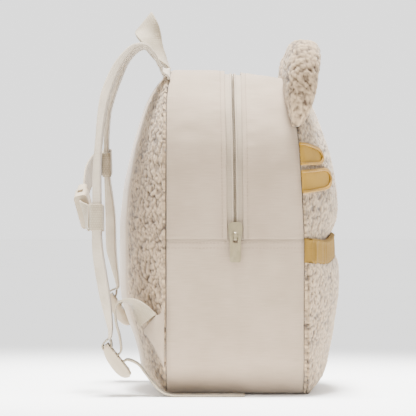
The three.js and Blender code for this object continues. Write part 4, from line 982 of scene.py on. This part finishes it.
def pocket_band():
    """The gathered band at the pocket's mouth, with one marked pleat on each side."""
    across = np.sin(np.linspace(-1, 1, even(440, 4) + 1) * math.pi / 2 * 0.999)
    up = np.linspace(0, 1, 21)[:, None]
    z = mouth_height(across)[None] + CLEARANCE + up * (BAND_HEIGHT - CLEARANCE)
    x = across[None] * half_width_at(z, FRONT_HEIGHT)
    x += np.sign(x) * PILE_DEPTH * smooth((np.abs(across) - 0.95) / 0.05)
    top = FRONT_BULGE * profile(FRONT_PROFILE, (POCKET_HEIGHT + BAND_HEIGHT) / FRONT_HEIGHT)
    bulge = top + CLEARANCE + BAND_WALL + BAND_STAND * (1 - 0.6 * up)
    depth = domed(x, z, FRONT_HEIGHT, front_seam, POCKET_STAND + BAND_SIDE_STAND, bulge)
    depth[:, [0, -1]] = front_seam(z[:, [0, -1]]) + CLEARANCE
    base = np.stack([x, -depth, z], axis=-1)
    way = facing(base, -1)
    along = grid_steps(base)[..., 0]
    phase = along / BAND_FOLD_PITCH + 1.8 * noise(base * [1, 1, 0.35], 15 * MM, 41)
    folds = np.sin(phase * 2 * math.pi)
    strength = 0.25 + 1.0 * noise(base * [1, 1, 0.12], 13 * MM, 42) ** 2
    relief = folds * strength * (0.45 + 0.55 * np.sin(up * math.pi)) * BAND_FOLD_DEPTH
    pleat = np.abs(np.abs(along) - BAND_PLEAT * np.abs(along[:, [-1]]))
    relief -= PLEAT_DEPTH * hump(pleat, 0, PLEAT_SPREAD) * smooth((0.98 - up) / 0.25)
    relief += PLEAT_FOLD * hump(pleat, PLEAT_FOLD_AT, PLEAT_FOLD_SPREAD)
    relief += BAND_HEM * hump(up, BAND_HEM_AT, 0.05)
    relief -= BAND_HEM_SINK * smooth((BAND_HEM_LOW - up) / BAND_HEM_LOW)
    relief -= BAND_TUCK * smooth((up - BAND_HEM_AT) / (1 - BAND_HEM_AT))
    outer = base + way * relief[..., None]
    outer[..., 2] -= BAND_SCALLOP * (1 + folds) * strength * (1 - smooth(up / 0.25))
    piece = outward(shell("pocket_band", outer, outer - way * BAND_WALL * 0.8, BAND, 4))
    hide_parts("pocket_band")


# Ears and stripes
def ear_point(angle, stand):
    radius = TOP_RADIUS + stand
    return np.stack([
        HALF_WIDTH - TOP_RADIUS + radius * np.cos(np.radians(angle)),
        FRONT_HEIGHT - TOP_RADIUS + radius * np.sin(np.radians(angle)),
    ], axis=-1)


def ear_face(side, direction, rows=56, columns=104):
    """One face of an ear, from its foot on the seam to its rim."""
    stand = GUSSET_TOP_CROWN / 2 + CLEARANCE
    start, end = ear_point(EAR_START, stand), ear_point(EAR_END, stand)
    middle, half = (start + end) / 2, (start - end) / 2
    turned = math.radians(EAR_DIRECTION)
    axis = EAR_LENGTH * np.array([math.cos(turned), math.sin(turned)])
    share = np.linspace(0, 1, columns + 1)[None, :, None]
    turn = math.pi * share
    rim = middle + half * np.cos(turn) * (1 + EAR_FLARE * np.sin(turn)) + axis * np.sin(turn)
    foot = ear_point(EAR_START + (EAR_END - EAR_START) * share[..., 0], stand)
    level = np.sin(np.linspace(0, math.pi / 2, rows + 1))[:, None, None]
    place = foot + (rim - foot) * level
    across, level = share[..., 0], level[..., 0]
    swell = (1 - level ** 9) ** 0.5 * (1 - (1 - level) ** 2 * (1 - EAR_FOOT_SHARE))
    swell = np.maximum(0, np.sin(math.pi * across)) ** 0.55 * swell
    bulge = EAR_FRONT_BULGE if direction > 0 else EAR_REAR_BULGE
    lean = EAR_LEAN * level * np.sin(math.pi * across)
    depth = front_seam(place[..., 1]) + lean + direction * (EAR_RIM / 2 + (bulge - EAR_RIM / 2) * swell)
    return np.stack([side * place[..., 0], -depth, place[..., 1]], axis=-1)


def ear(name, side):
    base = np.concatenate([ear_face(side, 1), ear_face(side, -1)[::-1]])
    way = normals_of(base)
    middle = base.reshape(-1, 3).mean(axis=0)
    way *= np.sign(np.sum(way * (base - middle)))
    pile = pile_height(base)
    fade = smooth(edge_gaps(base, "left right") / EAR_PILE_FADE)
    outer = base + way * ((pile - PILE_LEVEL) * PILE_DEPTH * fade)[..., None]
    rows, columns = outer.shape[:2]
    index = np.arange(rows * columns).reshape(rows, columns)
    faces = np.stack([index[:-1, :-1], index[:-1, 1:], index[1:, 1:], index[1:, :-1]], -1).reshape(-1, 4)
    foot = np.stack([index[-1, :-1], index[-1, 1:], index[0, 1:], index[0, :-1]], -1)
    faces = np.concatenate([faces, foot]).tolist()
    uvs = grid_steps(outer).reshape(-1, 2)[np.array(faces).ravel()]
    piece = make(name, outer.reshape(-1, 3), faces, uvs, [TEDDY], pile=pile.ravel())
    shape = bmesh.new()
    shape.from_mesh(piece.data)
    bmesh.ops.remove_doubles(shape, verts=shape.verts, dist=EAR_WELD)
    bmesh.ops.recalc_face_normals(shape, faces=shape.faces)
    shape.to_mesh(piece.data)
    shape.free()
    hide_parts(name)


def cheek_stripe(name, side, facts):
    """A tongue of cloth from the side seam, with a satin stitched border."""
    along = np.concatenate([np.linspace(0, 0.8, 33), 1 - 0.2 * (1 - np.linspace(0, 1, 17)[1:]) ** 2])
    along = along[:, None] * 0.995
    edge = np.linspace(-1, 1, 29)[None]
    narrowing = (1 - np.maximum(0, (along - STRIPE_ROUND) / (1 - STRIPE_ROUND)) ** 2.6) ** 0.5
    half = facts["height"] / 2
    slope = np.where(edge > 0, facts["top"] * edge, -facts["bottom"] * edge)
    slope += (1 - np.abs(edge)) * (facts["top"] + facts["bottom"]) / 2
    z = facts["level"] + slope * facts["length"] * along + edge * narrowing * half
    x = half_width_at(z, FRONT_HEIGHT) - along * facts["length"]
    depth = front_depth(x, z)
    x += PILE_DEPTH / 2 * (1 - smooth(along * facts["length"] / STRIPE_RISE))
    depth[0] = front_seam(z[0]) + CLEARANCE
    base = np.stack([side * x, -depth, z], axis=-1)
    way = facing(base, -1)
    rise = 0.5 + 0.5 * smooth(along * facts["length"] / STRIPE_RISE)
    dents = STRIPE_DENT * ripple(base, 9 * MM, (1, 1, 1), 51)
    lift = rise * (STRIPE_STAND + STRIPE_THICKNESS + dents)
    outer = base + way * lift[..., None]
    sunk = outer - way * (rise * STRIPE_SINK)[..., None]
    under = sunk - way * (rise * STRIPE_THICKNESS)[..., None]
    fill = outward(shell(f"{name}_fill", sunk, under, STRIPE_CLOTH, 4))
    loop = np.concatenate([outer[:, 0], outer[-1, 1:], outer[::-1, -1][1:]])
    ways = np.concatenate([way[:, 0], way[-1, 1:], way[::-1, -1][1:]])
    frames = path_frames(loop, ways, 0.9 * MM)
    border = tubes(name, [oval(frames, STRIPE_BORDER / 2, STRIPE_BORDER_HEIGHT / 2)], SATIN)
    for piece in (fill, border):
        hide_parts(name)


def path_frames(points, ways, spacing):
    """Evenly spaced places along a path with its tangent, outward and sideways directions."""
    length = travelled(points)
    spots = np.linspace(0, length[-1], max(4, int(length[-1] / spacing)))
    at = read_at(spots, length, points)
    way = unit(read_at(spots, length, ways))
    tangent = unit(np.gradient(at, axis=0))
    side = unit(np.cross(tangent, way))
    return {"at": at, "tangent": tangent, "way": np.cross(side, tangent), "side": side}


def oval(frames, half_width, half_height, around=12):
    """Rings of an oval tube along path frames."""
    turns = np.linspace(0, 2 * math.pi, around + 1)[:-1]
    return np.stack([
        frames["at"] + frames["side"] * half_width * math.cos(turn)
        + frames["way"] * half_height * math.sin(turn)
        for turn in turns
    ], axis=1)


# Straps and webbing
def handle():
    half = HANDLE_SPACING / 2
    foot_y, foot_z = rear_seam(BACK_HEIGHT) + HANDLE_SETBACK, BACK_HEIGHT + 2 * CLEARANCE
    rows = []
    for side, route in ((-1, HANDLE_ROUTE), (1, HANDLE_ROUTE[-2::-1])):
        for across, back, rise, turn in route:
            at = (side * across * half, foot_y + back * HANDLE_HEIGHT, foot_z + rise * HANDLE_HEIGHT)
            wide = (-side * (1 - turn), -0.62 * turn, (0.5 + 0.3 * rise) * turn)
            rows.append(webbing_row(at, wide))
    webbing_piece("handle", ribbed(rows))


def shoulder_frames(side, table, lock_bar):
    x, z, out_x, out_z = outline("top corner", STRAP_ROOT_ANGLE / 90, BACK_HEIGHT)
    stand = 2 * CLEARANCE
    root = np.array([side * (x + out_x * stand), rear_seam(z) + 1 * MM, z + out_z * stand])
    wide = (out_z, 0, -side * out_x)
    first = (root, wide, 0.75 * STRAP_WIDTH, 0.3 * STRAP_THICKNESS)
    leaving = np.array([side * out_x, 0.3, out_z]) * STRAP_THICKNESS * 0.375
    rows = [first, (root + leaving, *first[1:])]
    for across, back, height, width, thick in table:
        rows.append((strap_place(side, across, back, height), (1, 0, 0),
                     width * STRAP_WIDTH, thick * STRAP_THICKNESS))
    end = rows[-1]
    rows.append((end[0] + (lock_bar - end[0]) * 0.25, *end[1:]))
    return ribbon_frames(rows)


def lock_frame(side, lock):
    fall_y, fall_z = lock["fall"]
    up = unit([0, -fall_y, -fall_z])
    return {"centre": strap_place(side, *lock["place"]), "up": up, "inward": np.array([0, -up[2], up[1]])}


def lock_point(lock, along, over):
    return lock["centre"] + lock["up"] * along + lock["inward"] * over


def shoulder_strap(name, frames):
    rings = section(frames, STRAP_CORNER, flats=9, steps=5)
    middle = frames["at"][:, None]
    way = unit(rings - middle)
    relief = STRAP_DENT * ripple(rings, 16 * MM, (1, 1, 1), 61)
    piece = tubes(name, [rings + way * relief[..., None]], STRAP)
    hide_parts(name)


def strap_tab(name, lock, strap_end):
    bar = lock_point(lock, LOCK_BAR_OFFSET, 0)
    radius = math.hypot(LOCK_END_BAR, LOCK_THICKNESS) / 2 + WEBBING_THICKNESS / 2 + CLEARANCE
    to_strap = (strap_end - bar) * [0, 1, 1]
    reach = np.linalg.norm(to_strap)
    to_strap /= reach
    sideways = np.array([0, -to_strap[2], to_strap[1]])

    def place(along, over):
        at = bar + to_strap * along + sideways * over
        at[0] = strap_end[0] + (bar[0] - strap_end[0]) * (1 - max(0, along) / reach)
        return at

    end, start = WEBBING_THICKNESS / 2 + CLEARANCE, reach - 2 * CLEARANCE
    wide_part = end + (radius - end) * 0.6
    places = [place(start, -end), place(start * 0.6, -wide_part)]
    for angle in np.linspace(0, math.pi, 7):
        places.append(place(-radius * math.sin(angle), -radius * math.cos(angle)))
    places += [place(start * 0.6, wide_part), place(start, end)]
    frames = ribbon_frames([webbing_row(at, (1, 0, 0)) for at in places], 0.9 * MM)
    webbing_piece(name, frames)


def strap_wing(name, side):
    stand = WING_THICKNESS / 2 + 3 * CLEARANCE
    along = np.linspace(0, 1, 33)[:, None]
    out = np.linspace(0, 1, 21)[None]
    z = WING_LOW + (WING_HIGH - WING_LOW) * along
    seam = np.stack([side * (half_width_at(z, BACK_HEIGHT) + stand), rear_seam(z) + PANEL_RIM, z], axis=-1)
    low, high = strap_place(side, *WING_TIP_LOW), strap_place(side, *WING_TIP_HIGH)
    tip = low + (high - low) * along[..., None]
    base = seam + (tip - seam) * out[..., None]
    base[..., 2] += (0.5 - along) * WING_HOLLOW * np.sin(math.pi * out)
    base[..., 0] += (seam[..., 0] - tip[..., 0]) * WING_FLARE * out * (1 - out)
    base[..., 0] += side * WING_DENT * ripple(base, 14 * MM, (1, 0.5, 1), 71) * np.sin(math.pi * out)
    half = np.array([WING_THICKNESS / 2, 0, 0]) * side
    piece = outward(shell(name, base + half, base - half, WOVEN, 4))
    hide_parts(name)


def adjuster_webbing(name, side, lock, facts):
    high, low = strap_place(side, *WING_TIP_HIGH), strap_place(side, *WING_TIP_LOW)
    middle = (high + low) / 2
    away = unit(strap_place(side, *facts["adjuster"][0][:3]) - middle)
    bend = LOCK_BAR / 2 + LOCK_SLOT / 2
    drop = LOCK_THICKNESS / 2 + WEBBING_THICKNESS / 2 + 2 * CLEARANCE

    def rows(part):
        return [webbing_row(strap_place(side, *row[:3]), (row[3], -side * row[4], -side * row[5]))
                for row in part]

    wrap = [webbing_row(lock_point(lock, along * bend, over * drop), (1, 0, 0)) for along, over in LOCK_WRAP]
    start = webbing_row(middle + away * WING_THICKNESS, unit(low - high) * -side)
    frames = ribbed([start, *rows(facts["adjuster"]), *wrap, *rows(facts["tail"])])
    webbing_piece(name, frames)


def chest_loop(name, frames, index):
    """A ring of webbing round the shoulder strap."""
    half_thick = frames["thick"][index] / 2 + LOOP_CLEARANCE - LOOP_CORNER
    half_wide = frames["width"][index] / 2 + LOOP_CLEARANCE - LOOP_CORNER
    radius = LOOP_CORNER + WEBBING_THICKNESS / 2
    path, ways = [], []
    for quarter, (x, y) in enumerate([(1, 1), (-1, 1), (-1, -1), (1, -1)]):
        for angle in np.linspace(0, math.pi / 2, 7) + quarter * math.pi / 2:
            way = frames["wide"][index] * math.cos(angle) + frames["normal"][index] * math.sin(angle)
            corner = frames["wide"][index] * x * half_wide + frames["normal"][index] * y * half_thick
            path.append(frames["at"][index] + corner + way * radius)
            ways.append(way)
        if quarter in (0, 2):
            for share in (0.25, 0.5, 0.75):
                corner = frames["wide"][index] * x * half_wide * (1 - 2 * share)
                corner = corner + frames["normal"][index] * y * half_thick
                path.append(frames["at"][index] + corner + way * radius)
                ways.append(way)
    path, ways = np.array(path), np.array(ways)
    loop = {
        "at": path, "normal": ways,
        "wide": np.repeat(frames["tangent"][[index]], len(path), axis=0),
        "width": np.full(len(path), WEBBING_WIDTH), "thick": np.full(len(path), WEBBING_THICKNESS),
    }
    webbing_piece(name, loop, looped=True)


BUCKLE_ALONG = unit([1, 0, CHEST_BUCKLE["rise"]])
BUCKLE_UP = np.array([0, CHEST_BUCKLE["lean"], 1.0])
BUCKLE_UP = unit(BUCKLE_UP - BUCKLE_ALONG * (BUCKLE_UP @ BUCKLE_ALONG))
BUCKLE_CENTRE = strap_place(1, *CHEST_BUCKLE["place"])


def chest_strap(name, frames, index, facts):
    stand = frames["thick"][index] / 2 + LOOP_CLEARANCE + 1.5 * WEBBING_THICKNESS + CLEARANCE
    outward_way = frames["normal"][index] * np.sign(frames["normal"][index][1])
    upward = frames["tangent"][index] * np.sign(frames["tangent"][index][2])
    inner = -np.sign(frames["at"][index][0])
    rows = []
    for share, lift in ((-0.35, 0), (0.1, 0.2), (0.5, 1.2)):
        at = frames["at"][index] + outward_way * (stand + lift * WEBBING_THICKNESS)
        rows.append(webbing_row(at + np.array([inner * share * STRAP_WIDTH, 0, 0]), upward))
    rows += [webbing_row(strap_place(1, *row), (0, 0.12, 1)) for row in facts["chest"]]
    for along in facts["buckle"]:
        rows.append(webbing_row(BUCKLE_CENTRE + BUCKLE_ALONG * along, BUCKLE_UP))
    webbing_piece(name, ribbed(rows))


# Moulded pieces
def softened(node, name, material, bevel, body="bag"):
    """A copy of a hard node with rounded edges."""
    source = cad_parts[node]
    shape = bmesh.new()
    shape.from_mesh(source.data)
    bmesh.ops.remove_doubles(shape, verts=shape.verts, dist=0.02 * MM)
    bmesh.ops.dissolve_limit(shape, angle_limit=math.radians(4), verts=shape.verts, edges=shape.edges)
    mesh = bpy.data.meshes.new(name)
    shape.to_mesh(mesh)
    shape.free()
    mesh.materials.append(material)
    mesh.polygons.foreach_set("use_smooth", [True] * len(mesh.polygons))
    piece = bpy.data.objects.new(name, mesh)
    bpy.context.scene.collection.objects.link(piece)
    rounding = piece.modifiers.new("rounding", "BEVEL")
    rounding.width = bevel
    rounding.segments = 3
    rounding.limit_method = "ANGLE"
    rounding.angle_limit = math.radians(28)
    rounding.harden_normals = True
    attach(piece, body)
    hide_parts(node)


# Materials
def paint(text):
    """A colour given as six hexadecimal digits, in the shader's linear numbers."""
    parts = [int(text[index:index + 2], 16) / 255 for index in (0, 2, 4)]
    return tuple(p / 12.92 if p <= 0.04045 else ((p + 0.055) / 1.055) ** 2.4 for p in parts) + (1.0,)


def add(tree, kind, inputs=(), **settings):
    """A node with its settings, its inputs linked where they are sockets and set where they are values."""
    made = tree.nodes.new(kind)
    for key, value in settings.items():
        setattr(made, key, value)
    for key, value in dict(inputs).items():
        if isinstance(value, bpy.types.NodeSocket):
            tree.links.new(value, made.inputs[key])
        else:
            made.inputs[key].default_value = value
    return made


def sums(tree, operation, *values):
    return add(tree, "ShaderNodeMath", dict(enumerate(values)), operation=operation).outputs[0]


def ramp(tree, factor, low, high, start=0.0, end=1.0):
    made = add(tree, "ShaderNodeValToRGB", {"Fac": factor})
    made.color_ramp.elements[0].position, made.color_ramp.elements[0].color = start, low
    made.color_ramp.elements[1].position, made.color_ramp.elements[1].color = end, high
    return made.outputs["Color"]


def shaded(name, roughness, **shader):
    """A new material with its tree and its shader node."""
    made = bpy.data.materials.new(name)
    made.use_nodes = True
    tree = made.node_tree
    tree.nodes.clear()
    node = tree.nodes.new("ShaderNodeBsdfPrincipled")
    node.inputs["Roughness"].default_value = roughness
    for key, value in shader.items():
        node.inputs[key.replace("_", " ").title()].default_value = value
    output = tree.nodes.new("ShaderNodeOutputMaterial")
    tree.links.new(node.outputs[0], output.inputs["Surface"])
    return made, tree, node


def surface(tree, node, colour, height, strength, distance):
    tree.links.new(colour, node.inputs["Base Color"])
    bump = add(tree, "ShaderNodeBump", {"Height": height, "Strength": strength, "Distance": distance})
    tree.links.new(bump.outputs[0], node.inputs["Normal"])


def sized(tree):
    """The piece's own size coordinates, in metres: across and along."""
    parts = add(tree, "ShaderNodeSeparateXYZ", {0: add(tree, "ShaderNodeTexCoord").outputs["UV"]})
    return parts.outputs["X"], parts.outputs["Y"]


def cloud(tree, scale, detail=2.0, stretch=(1, 1, 1), source="Object"):
    """Soft noise over the piece; scale counts its spots in a metre."""
    place = add(tree, "ShaderNodeMapping", {
        "Vector": add(tree, "ShaderNodeTexCoord").outputs[source], "Scale": stretch,
    })
    return add(tree, "ShaderNodeTexNoise", {
        "Vector": place.outputs[0], "Scale": scale, "Detail": detail,
    }).outputs["Fac"]


def threads(tree, place, pitch, offset=0.0):
    """Rounded threads side by side, from 0 to 1."""
    turned = sums(tree, "ADD", sums(tree, "MULTIPLY", place, math.pi / pitch), offset)
    return sums(tree, "ABSOLUTE", sums(tree, "SINE", turned))


def woven(name, light, dark, pitch, sheen=0.25):
    made, tree, node = shaded(name, 0.8, sheen_weight=sheen, sheen_roughness=0.5)
    across, along = sized(tree)
    weave = sums(tree, "MULTIPLY", threads(tree, across, pitch), threads(tree, along, pitch))
    slubs = cloud(tree, 60, 3, (1, 22, 1), "UV")
    spots = cloud(tree, 26, 2)
    mixed = sums(tree, "MULTIPLY_ADD", slubs, 0.45, sums(tree, "MULTIPLY", spots, 0.55))
    height = sums(tree, "MULTIPLY_ADD", weave, 0.5, sums(tree, "MULTIPLY", slubs, 0.5))
    surface(tree, node, ramp(tree, mixed, paint(dark), paint(light), 0.36, 0.62), height, 0.35, 0.25 * MM)
    return made


def teddy_cloth():
    made, tree, node = shaded("teddy", 0.95, sheen_weight=0.25, sheen_roughness=0.6)
    pile = add(tree, "ShaderNodeAttribute", attribute_name="pile").outputs["Fac"]
    fibre = cloud(tree, 1500, 3)
    blotch = cloud(tree, 55, 2)
    # Colour: dark where the pile is low and light on its tufts, which is painted shade in the hollows between
    # the tufts, with random fibre and blotch tone over it.
    depth = sums(tree, "MULTIPLY_ADD", pile, 0.75, sums(tree, "MULTIPLY", fibre, 0.25))
    depth = sums(tree, "MULTIPLY_ADD", blotch, 0.2, depth)
    colour = ramp(tree, depth, paint("3E2914"), paint("B89E7B"), 0.32, 0.86)
    surface(tree, node, colour, fibre, 0.6, 0.5 * MM)
    return made


def webbing(name, light, dark, pitch=1.5 * MM):
    """Ribbed webbing: ribs across it in two offset columns, and a plain selvedge; its colour is painted
    shade, darker in the grooves and lighter on the rib tops, with random tone over it.
    """
    made, tree, node = shaded(name, 0.72, sheen_weight=0.2, sheen_roughness=0.5)
    across, along = sized(tree)
    column = sums(tree, "MULTIPLY", sums(tree, "ROUND", sums(tree, "MULTIPLY", across, 1 / (2.2 * MM))), 1.57)
    ribs = sums(tree, "ABSOLUTE", sums(tree, "SINE", sums(
        tree, "ADD", sums(tree, "MULTIPLY", along, math.pi / pitch), column)))
    grooves = threads(tree, across, 2.2 * MM, 1.57)
    height = sums(tree, "MULTIPLY_ADD", ribs, 0.7, sums(tree, "MULTIPLY", grooves, 0.3))
    # Painted shade: the rib height darkens the grooves and lightens the rib tops, with random tone added.
    tone = sums(tree, "MULTIPLY_ADD", height, 0.5, sums(tree, "MULTIPLY", cloud(tree, 70, 2), 0.6))
    surface(tree, node, ramp(tree, tone, paint(dark), paint(light), 0.3, 0.75), height, 0.5, 0.35 * MM)
    return made


def satin(name, light, dark):
    """Dense embroidery threads across the path, with painted shade: darker between the threads and lighter on
    them, with random tone over it.
    """
    made, tree, node = shaded(name, 0.45)
    _, along = sized(tree)
    lines = threads(tree, along, 0.5 * MM)
    # Painted shade: the thread profile darkens the gaps between the threads, with random tone added.
    tone = sums(tree, "MULTIPLY_ADD", lines, 0.35, sums(tree, "MULTIPLY", cloud(tree, 130, 2), 0.6))
    surface(tree, node, ramp(tree, tone, paint(dark), paint(light), 0.2, 0.75), lines, 0.5, 0.2 * MM)
    return made


def moulded(name, light, dark, roughness):
    made, tree, node = shaded(name, roughness, coat_weight=0.15, coat_roughness=0.3)
    grain = cloud(tree, 2200, 2)
    tone = cloud(tree, 45, 3)
    surface(tree, node, ramp(tree, tone, paint(dark), paint(light), 0.35, 0.65), grain, 0.12, 0.15 * MM)
    return made


def painted(name, light, dark):
    made, tree, node = shaded(name, 0.34, metallic=0.15, coat_weight=0.4, coat_roughness=0.2)
    tone = cloud(tree, 220, 3)
    grain = cloud(tree, 1800, 2)
    surface(tree, node, ramp(tree, tone, paint(dark), paint(light), 0.35, 0.65), grain, 0.08, 0.1 * MM)
    return made


WOVEN = woven("woven", "A5917B", "97846E", 0.55 * MM)
THREAD = moulded("thread", "8F7D68", "7D6B56", 0.6)
TEDDY = teddy_cloth()
WEBBING = webbing("webbing", "A99B83", "75664C")
STRAP = webbing("strap", "BDAF9A", "9A8B75", 1.1 * MM)
ZIP_TAPE = woven("zip_tape", "AB9A84", "968570", 0.7 * MM)
# The teeth are darker than the tape, which is painted shade for the groove between the two coil rolls.
ZIP_TEETH = moulded("zip_teeth", "8E7E68", "75664F", 0.4)
SATIN = satin("satin", "A67A08", "7A5804")
STRIPE_CLOTH = woven("stripe_cloth", "A07A1E", "8C6916", 0.6 * MM, sheen=0)
BAND = woven("band_cloth", "806010", "6A4E09", 0.5 * MM, sheen=0)
PLASTIC = moulded("plastic", "B3A288", "A7967C", 0.38)
METAL = painted("painted_metal", "897C5C", "7D7152")


# The object
def straps():
    for name, facts in STRAPS.items():
        side, lock = facts["side"], lock_frame(facts["side"], facts["lock"])
        frames = shoulder_frames(side, facts["shoulder"], lock_point(lock, LOCK_BAR_OFFSET, 0))
        shoulder_strap(f"shoulder_strap_{name}", frames)
        strap_tab(f"strap_tab_{name}", lock, frames["at"][-1])
        strap_wing(f"strap_wing_{name}", side)
        adjuster_webbing(f"adjuster_webbing_{name}", side, lock, facts)
        hanging = frames["at"][:, 1] > REAR_DEPTH + STRAP_REACH / 2
        miss = np.abs(frames["at"][:, 2] - facts["loop_height"] * BACK_HEIGHT) + np.where(hanging, 0, 1)
        index = int(np.argmin(miss))
        chest_loop(f"chest_loop_{name}", frames, index)
        chest_strap(f"chest_strap_{name}", frames, index, facts)


def lock_cheeks(name, side, facts):
    """The two bulging sides of a ladder lock, outside its webbing."""
    lock = lock_frame(side, facts)
    low, high = (corner.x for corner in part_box(name))
    turns = np.linspace(0, 2 * math.pi, 41)[:-1]
    along = LOCK_CHEEK_LENGTH / 2 * np.sign(np.cos(turns)) * np.abs(np.cos(turns)) ** 0.8
    over = np.where(np.sin(turns) > 0, LOCK_THICKNESS / 2, LOCK_CHEEK_BULGE) * np.sin(turns)
    over *= 1 - 0.25 * along / LOCK_CHEEK_LENGTH
    rings = []
    for start, way in ((low, 1), (high, -1)):
        cheek = []
        for step, inset in LOCK_CHEEK_ROUNDING:
            reach = 1 - inset * MM / LOCK_CHEEK_BULGE
            ring = np.array([lock_point(lock, a * reach, o * reach) for a, o in zip(along, over)])
            ring[:, 0] = start + way * (step * MM - LOCK_CHEEK_PROUD)
            cheek.append(ring)
        rings.append(np.array(cheek))
    piece = tubes(f"{name}_cheeks", rings, PLASTIC)
    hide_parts(name)


def hard_pieces():
    softened("zip_slider", "slider", METAL, 0.45 * MM)
    softened("zip_pull", "pull_tab", METAL, 0.35 * MM, body="zip_tab")
    for name, side, facts in (("left", -1, NEAR_LOCK), ("right", 1, FAR_LOCK)):
        softened(f"ladder_lock_{name}", f"ladder_lock_{name}_rounded", PLASTIC, 0.9 * MM)
        lock_cheeks(f"ladder_lock_{name}", side, facts)
    softened("buckle_socket", "socket", PLASTIC, 0.8 * MM)
    softened("buckle_plug", "plug", PLASTIC, 0.7 * MM)


def build():
    gusset()
    zip_chain()
    back_panel()
    front_panel()
    pocket()
    pocket_band()
    for name, side in (("left", -1), ("right", 1)):
        ear(f"ear_{name}", side)
        for level, facts in STRIPES.items():
            cheek_stripe(f"cheek_stripe_{level}_{name}", side, facts)
    handle()
    straps()
    hard_pieces()


# Floor, light and camera
def stage():
    made, tree, node = shaded("floor", 0.9)
    tone = cloud(tree, 3, 2)
    surface(tree, node, ramp(tree, tone, paint("F8F8F7"), paint("FAFAF9"), 0.3, 0.7), tone, 0.02, 0.1 * MM)
    mesh = bpy.data.meshes.new("floor")
    reach = FLOOR_REACH
    mesh.from_pydata([(-reach, -reach, 0), (reach, -reach, 0), (reach, reach, 0), (-reach, reach, 0)],
                     [], [(0, 1, 2, 3)])
    mesh.materials.append(made)
    floor = bpy.data.objects.new("floor", mesh)
    bpy.context.scene.collection.objects.link(floor)


def light(name, place, aim, size, power, spread):
    data = bpy.data.lights.new(name, "AREA")
    data.size = size
    data.energy = power
    data.spread = math.radians(spread)
    lamp = bpy.data.objects.new(name, data)
    lamp.location = place
    way = np.array(aim) - np.array(place)
    lamp.rotation_euler = (
        math.atan2(math.hypot(way[0], way[1]), -way[2]), 0, math.atan2(way[1], way[0]) - math.pi / 2,
    )
    bpy.context.scene.collection.objects.link(lamp)


def studio():
    world = bpy.data.worlds.new("studio")
    world.use_nodes = True
    background = world.node_tree.nodes["Background"]
    background.inputs["Color"].default_value = (1, 1, 1, 1)
    background.inputs["Strength"].default_value = SKY_STRENGTH
    bpy.context.scene.world = world
    light("key", KEY_PLACE, (0, 0, BACK_HEIGHT / 2), KEY_SIZE, KEY_POWER, KEY_SPREAD)


def camera():
    data = bpy.data.cameras.new("camera")
    data.sensor_fit = "HORIZONTAL"
    data.sensor_width = SENSOR
    data.lens = SENSOR * CAMERA_DISTANCE / VIEW_WIDTH
    eye = bpy.data.objects.new("camera", data)
    eye.location = (-CAMERA_DISTANCE, CAMERA_Y, CAMERA_HEIGHT)
    eye.rotation_euler = (math.pi / 2, 0, -math.pi / 2)
    bpy.context.scene.collection.objects.link(eye)
    bpy.context.scene.camera = eye


camera()
build()
stage()
studio()
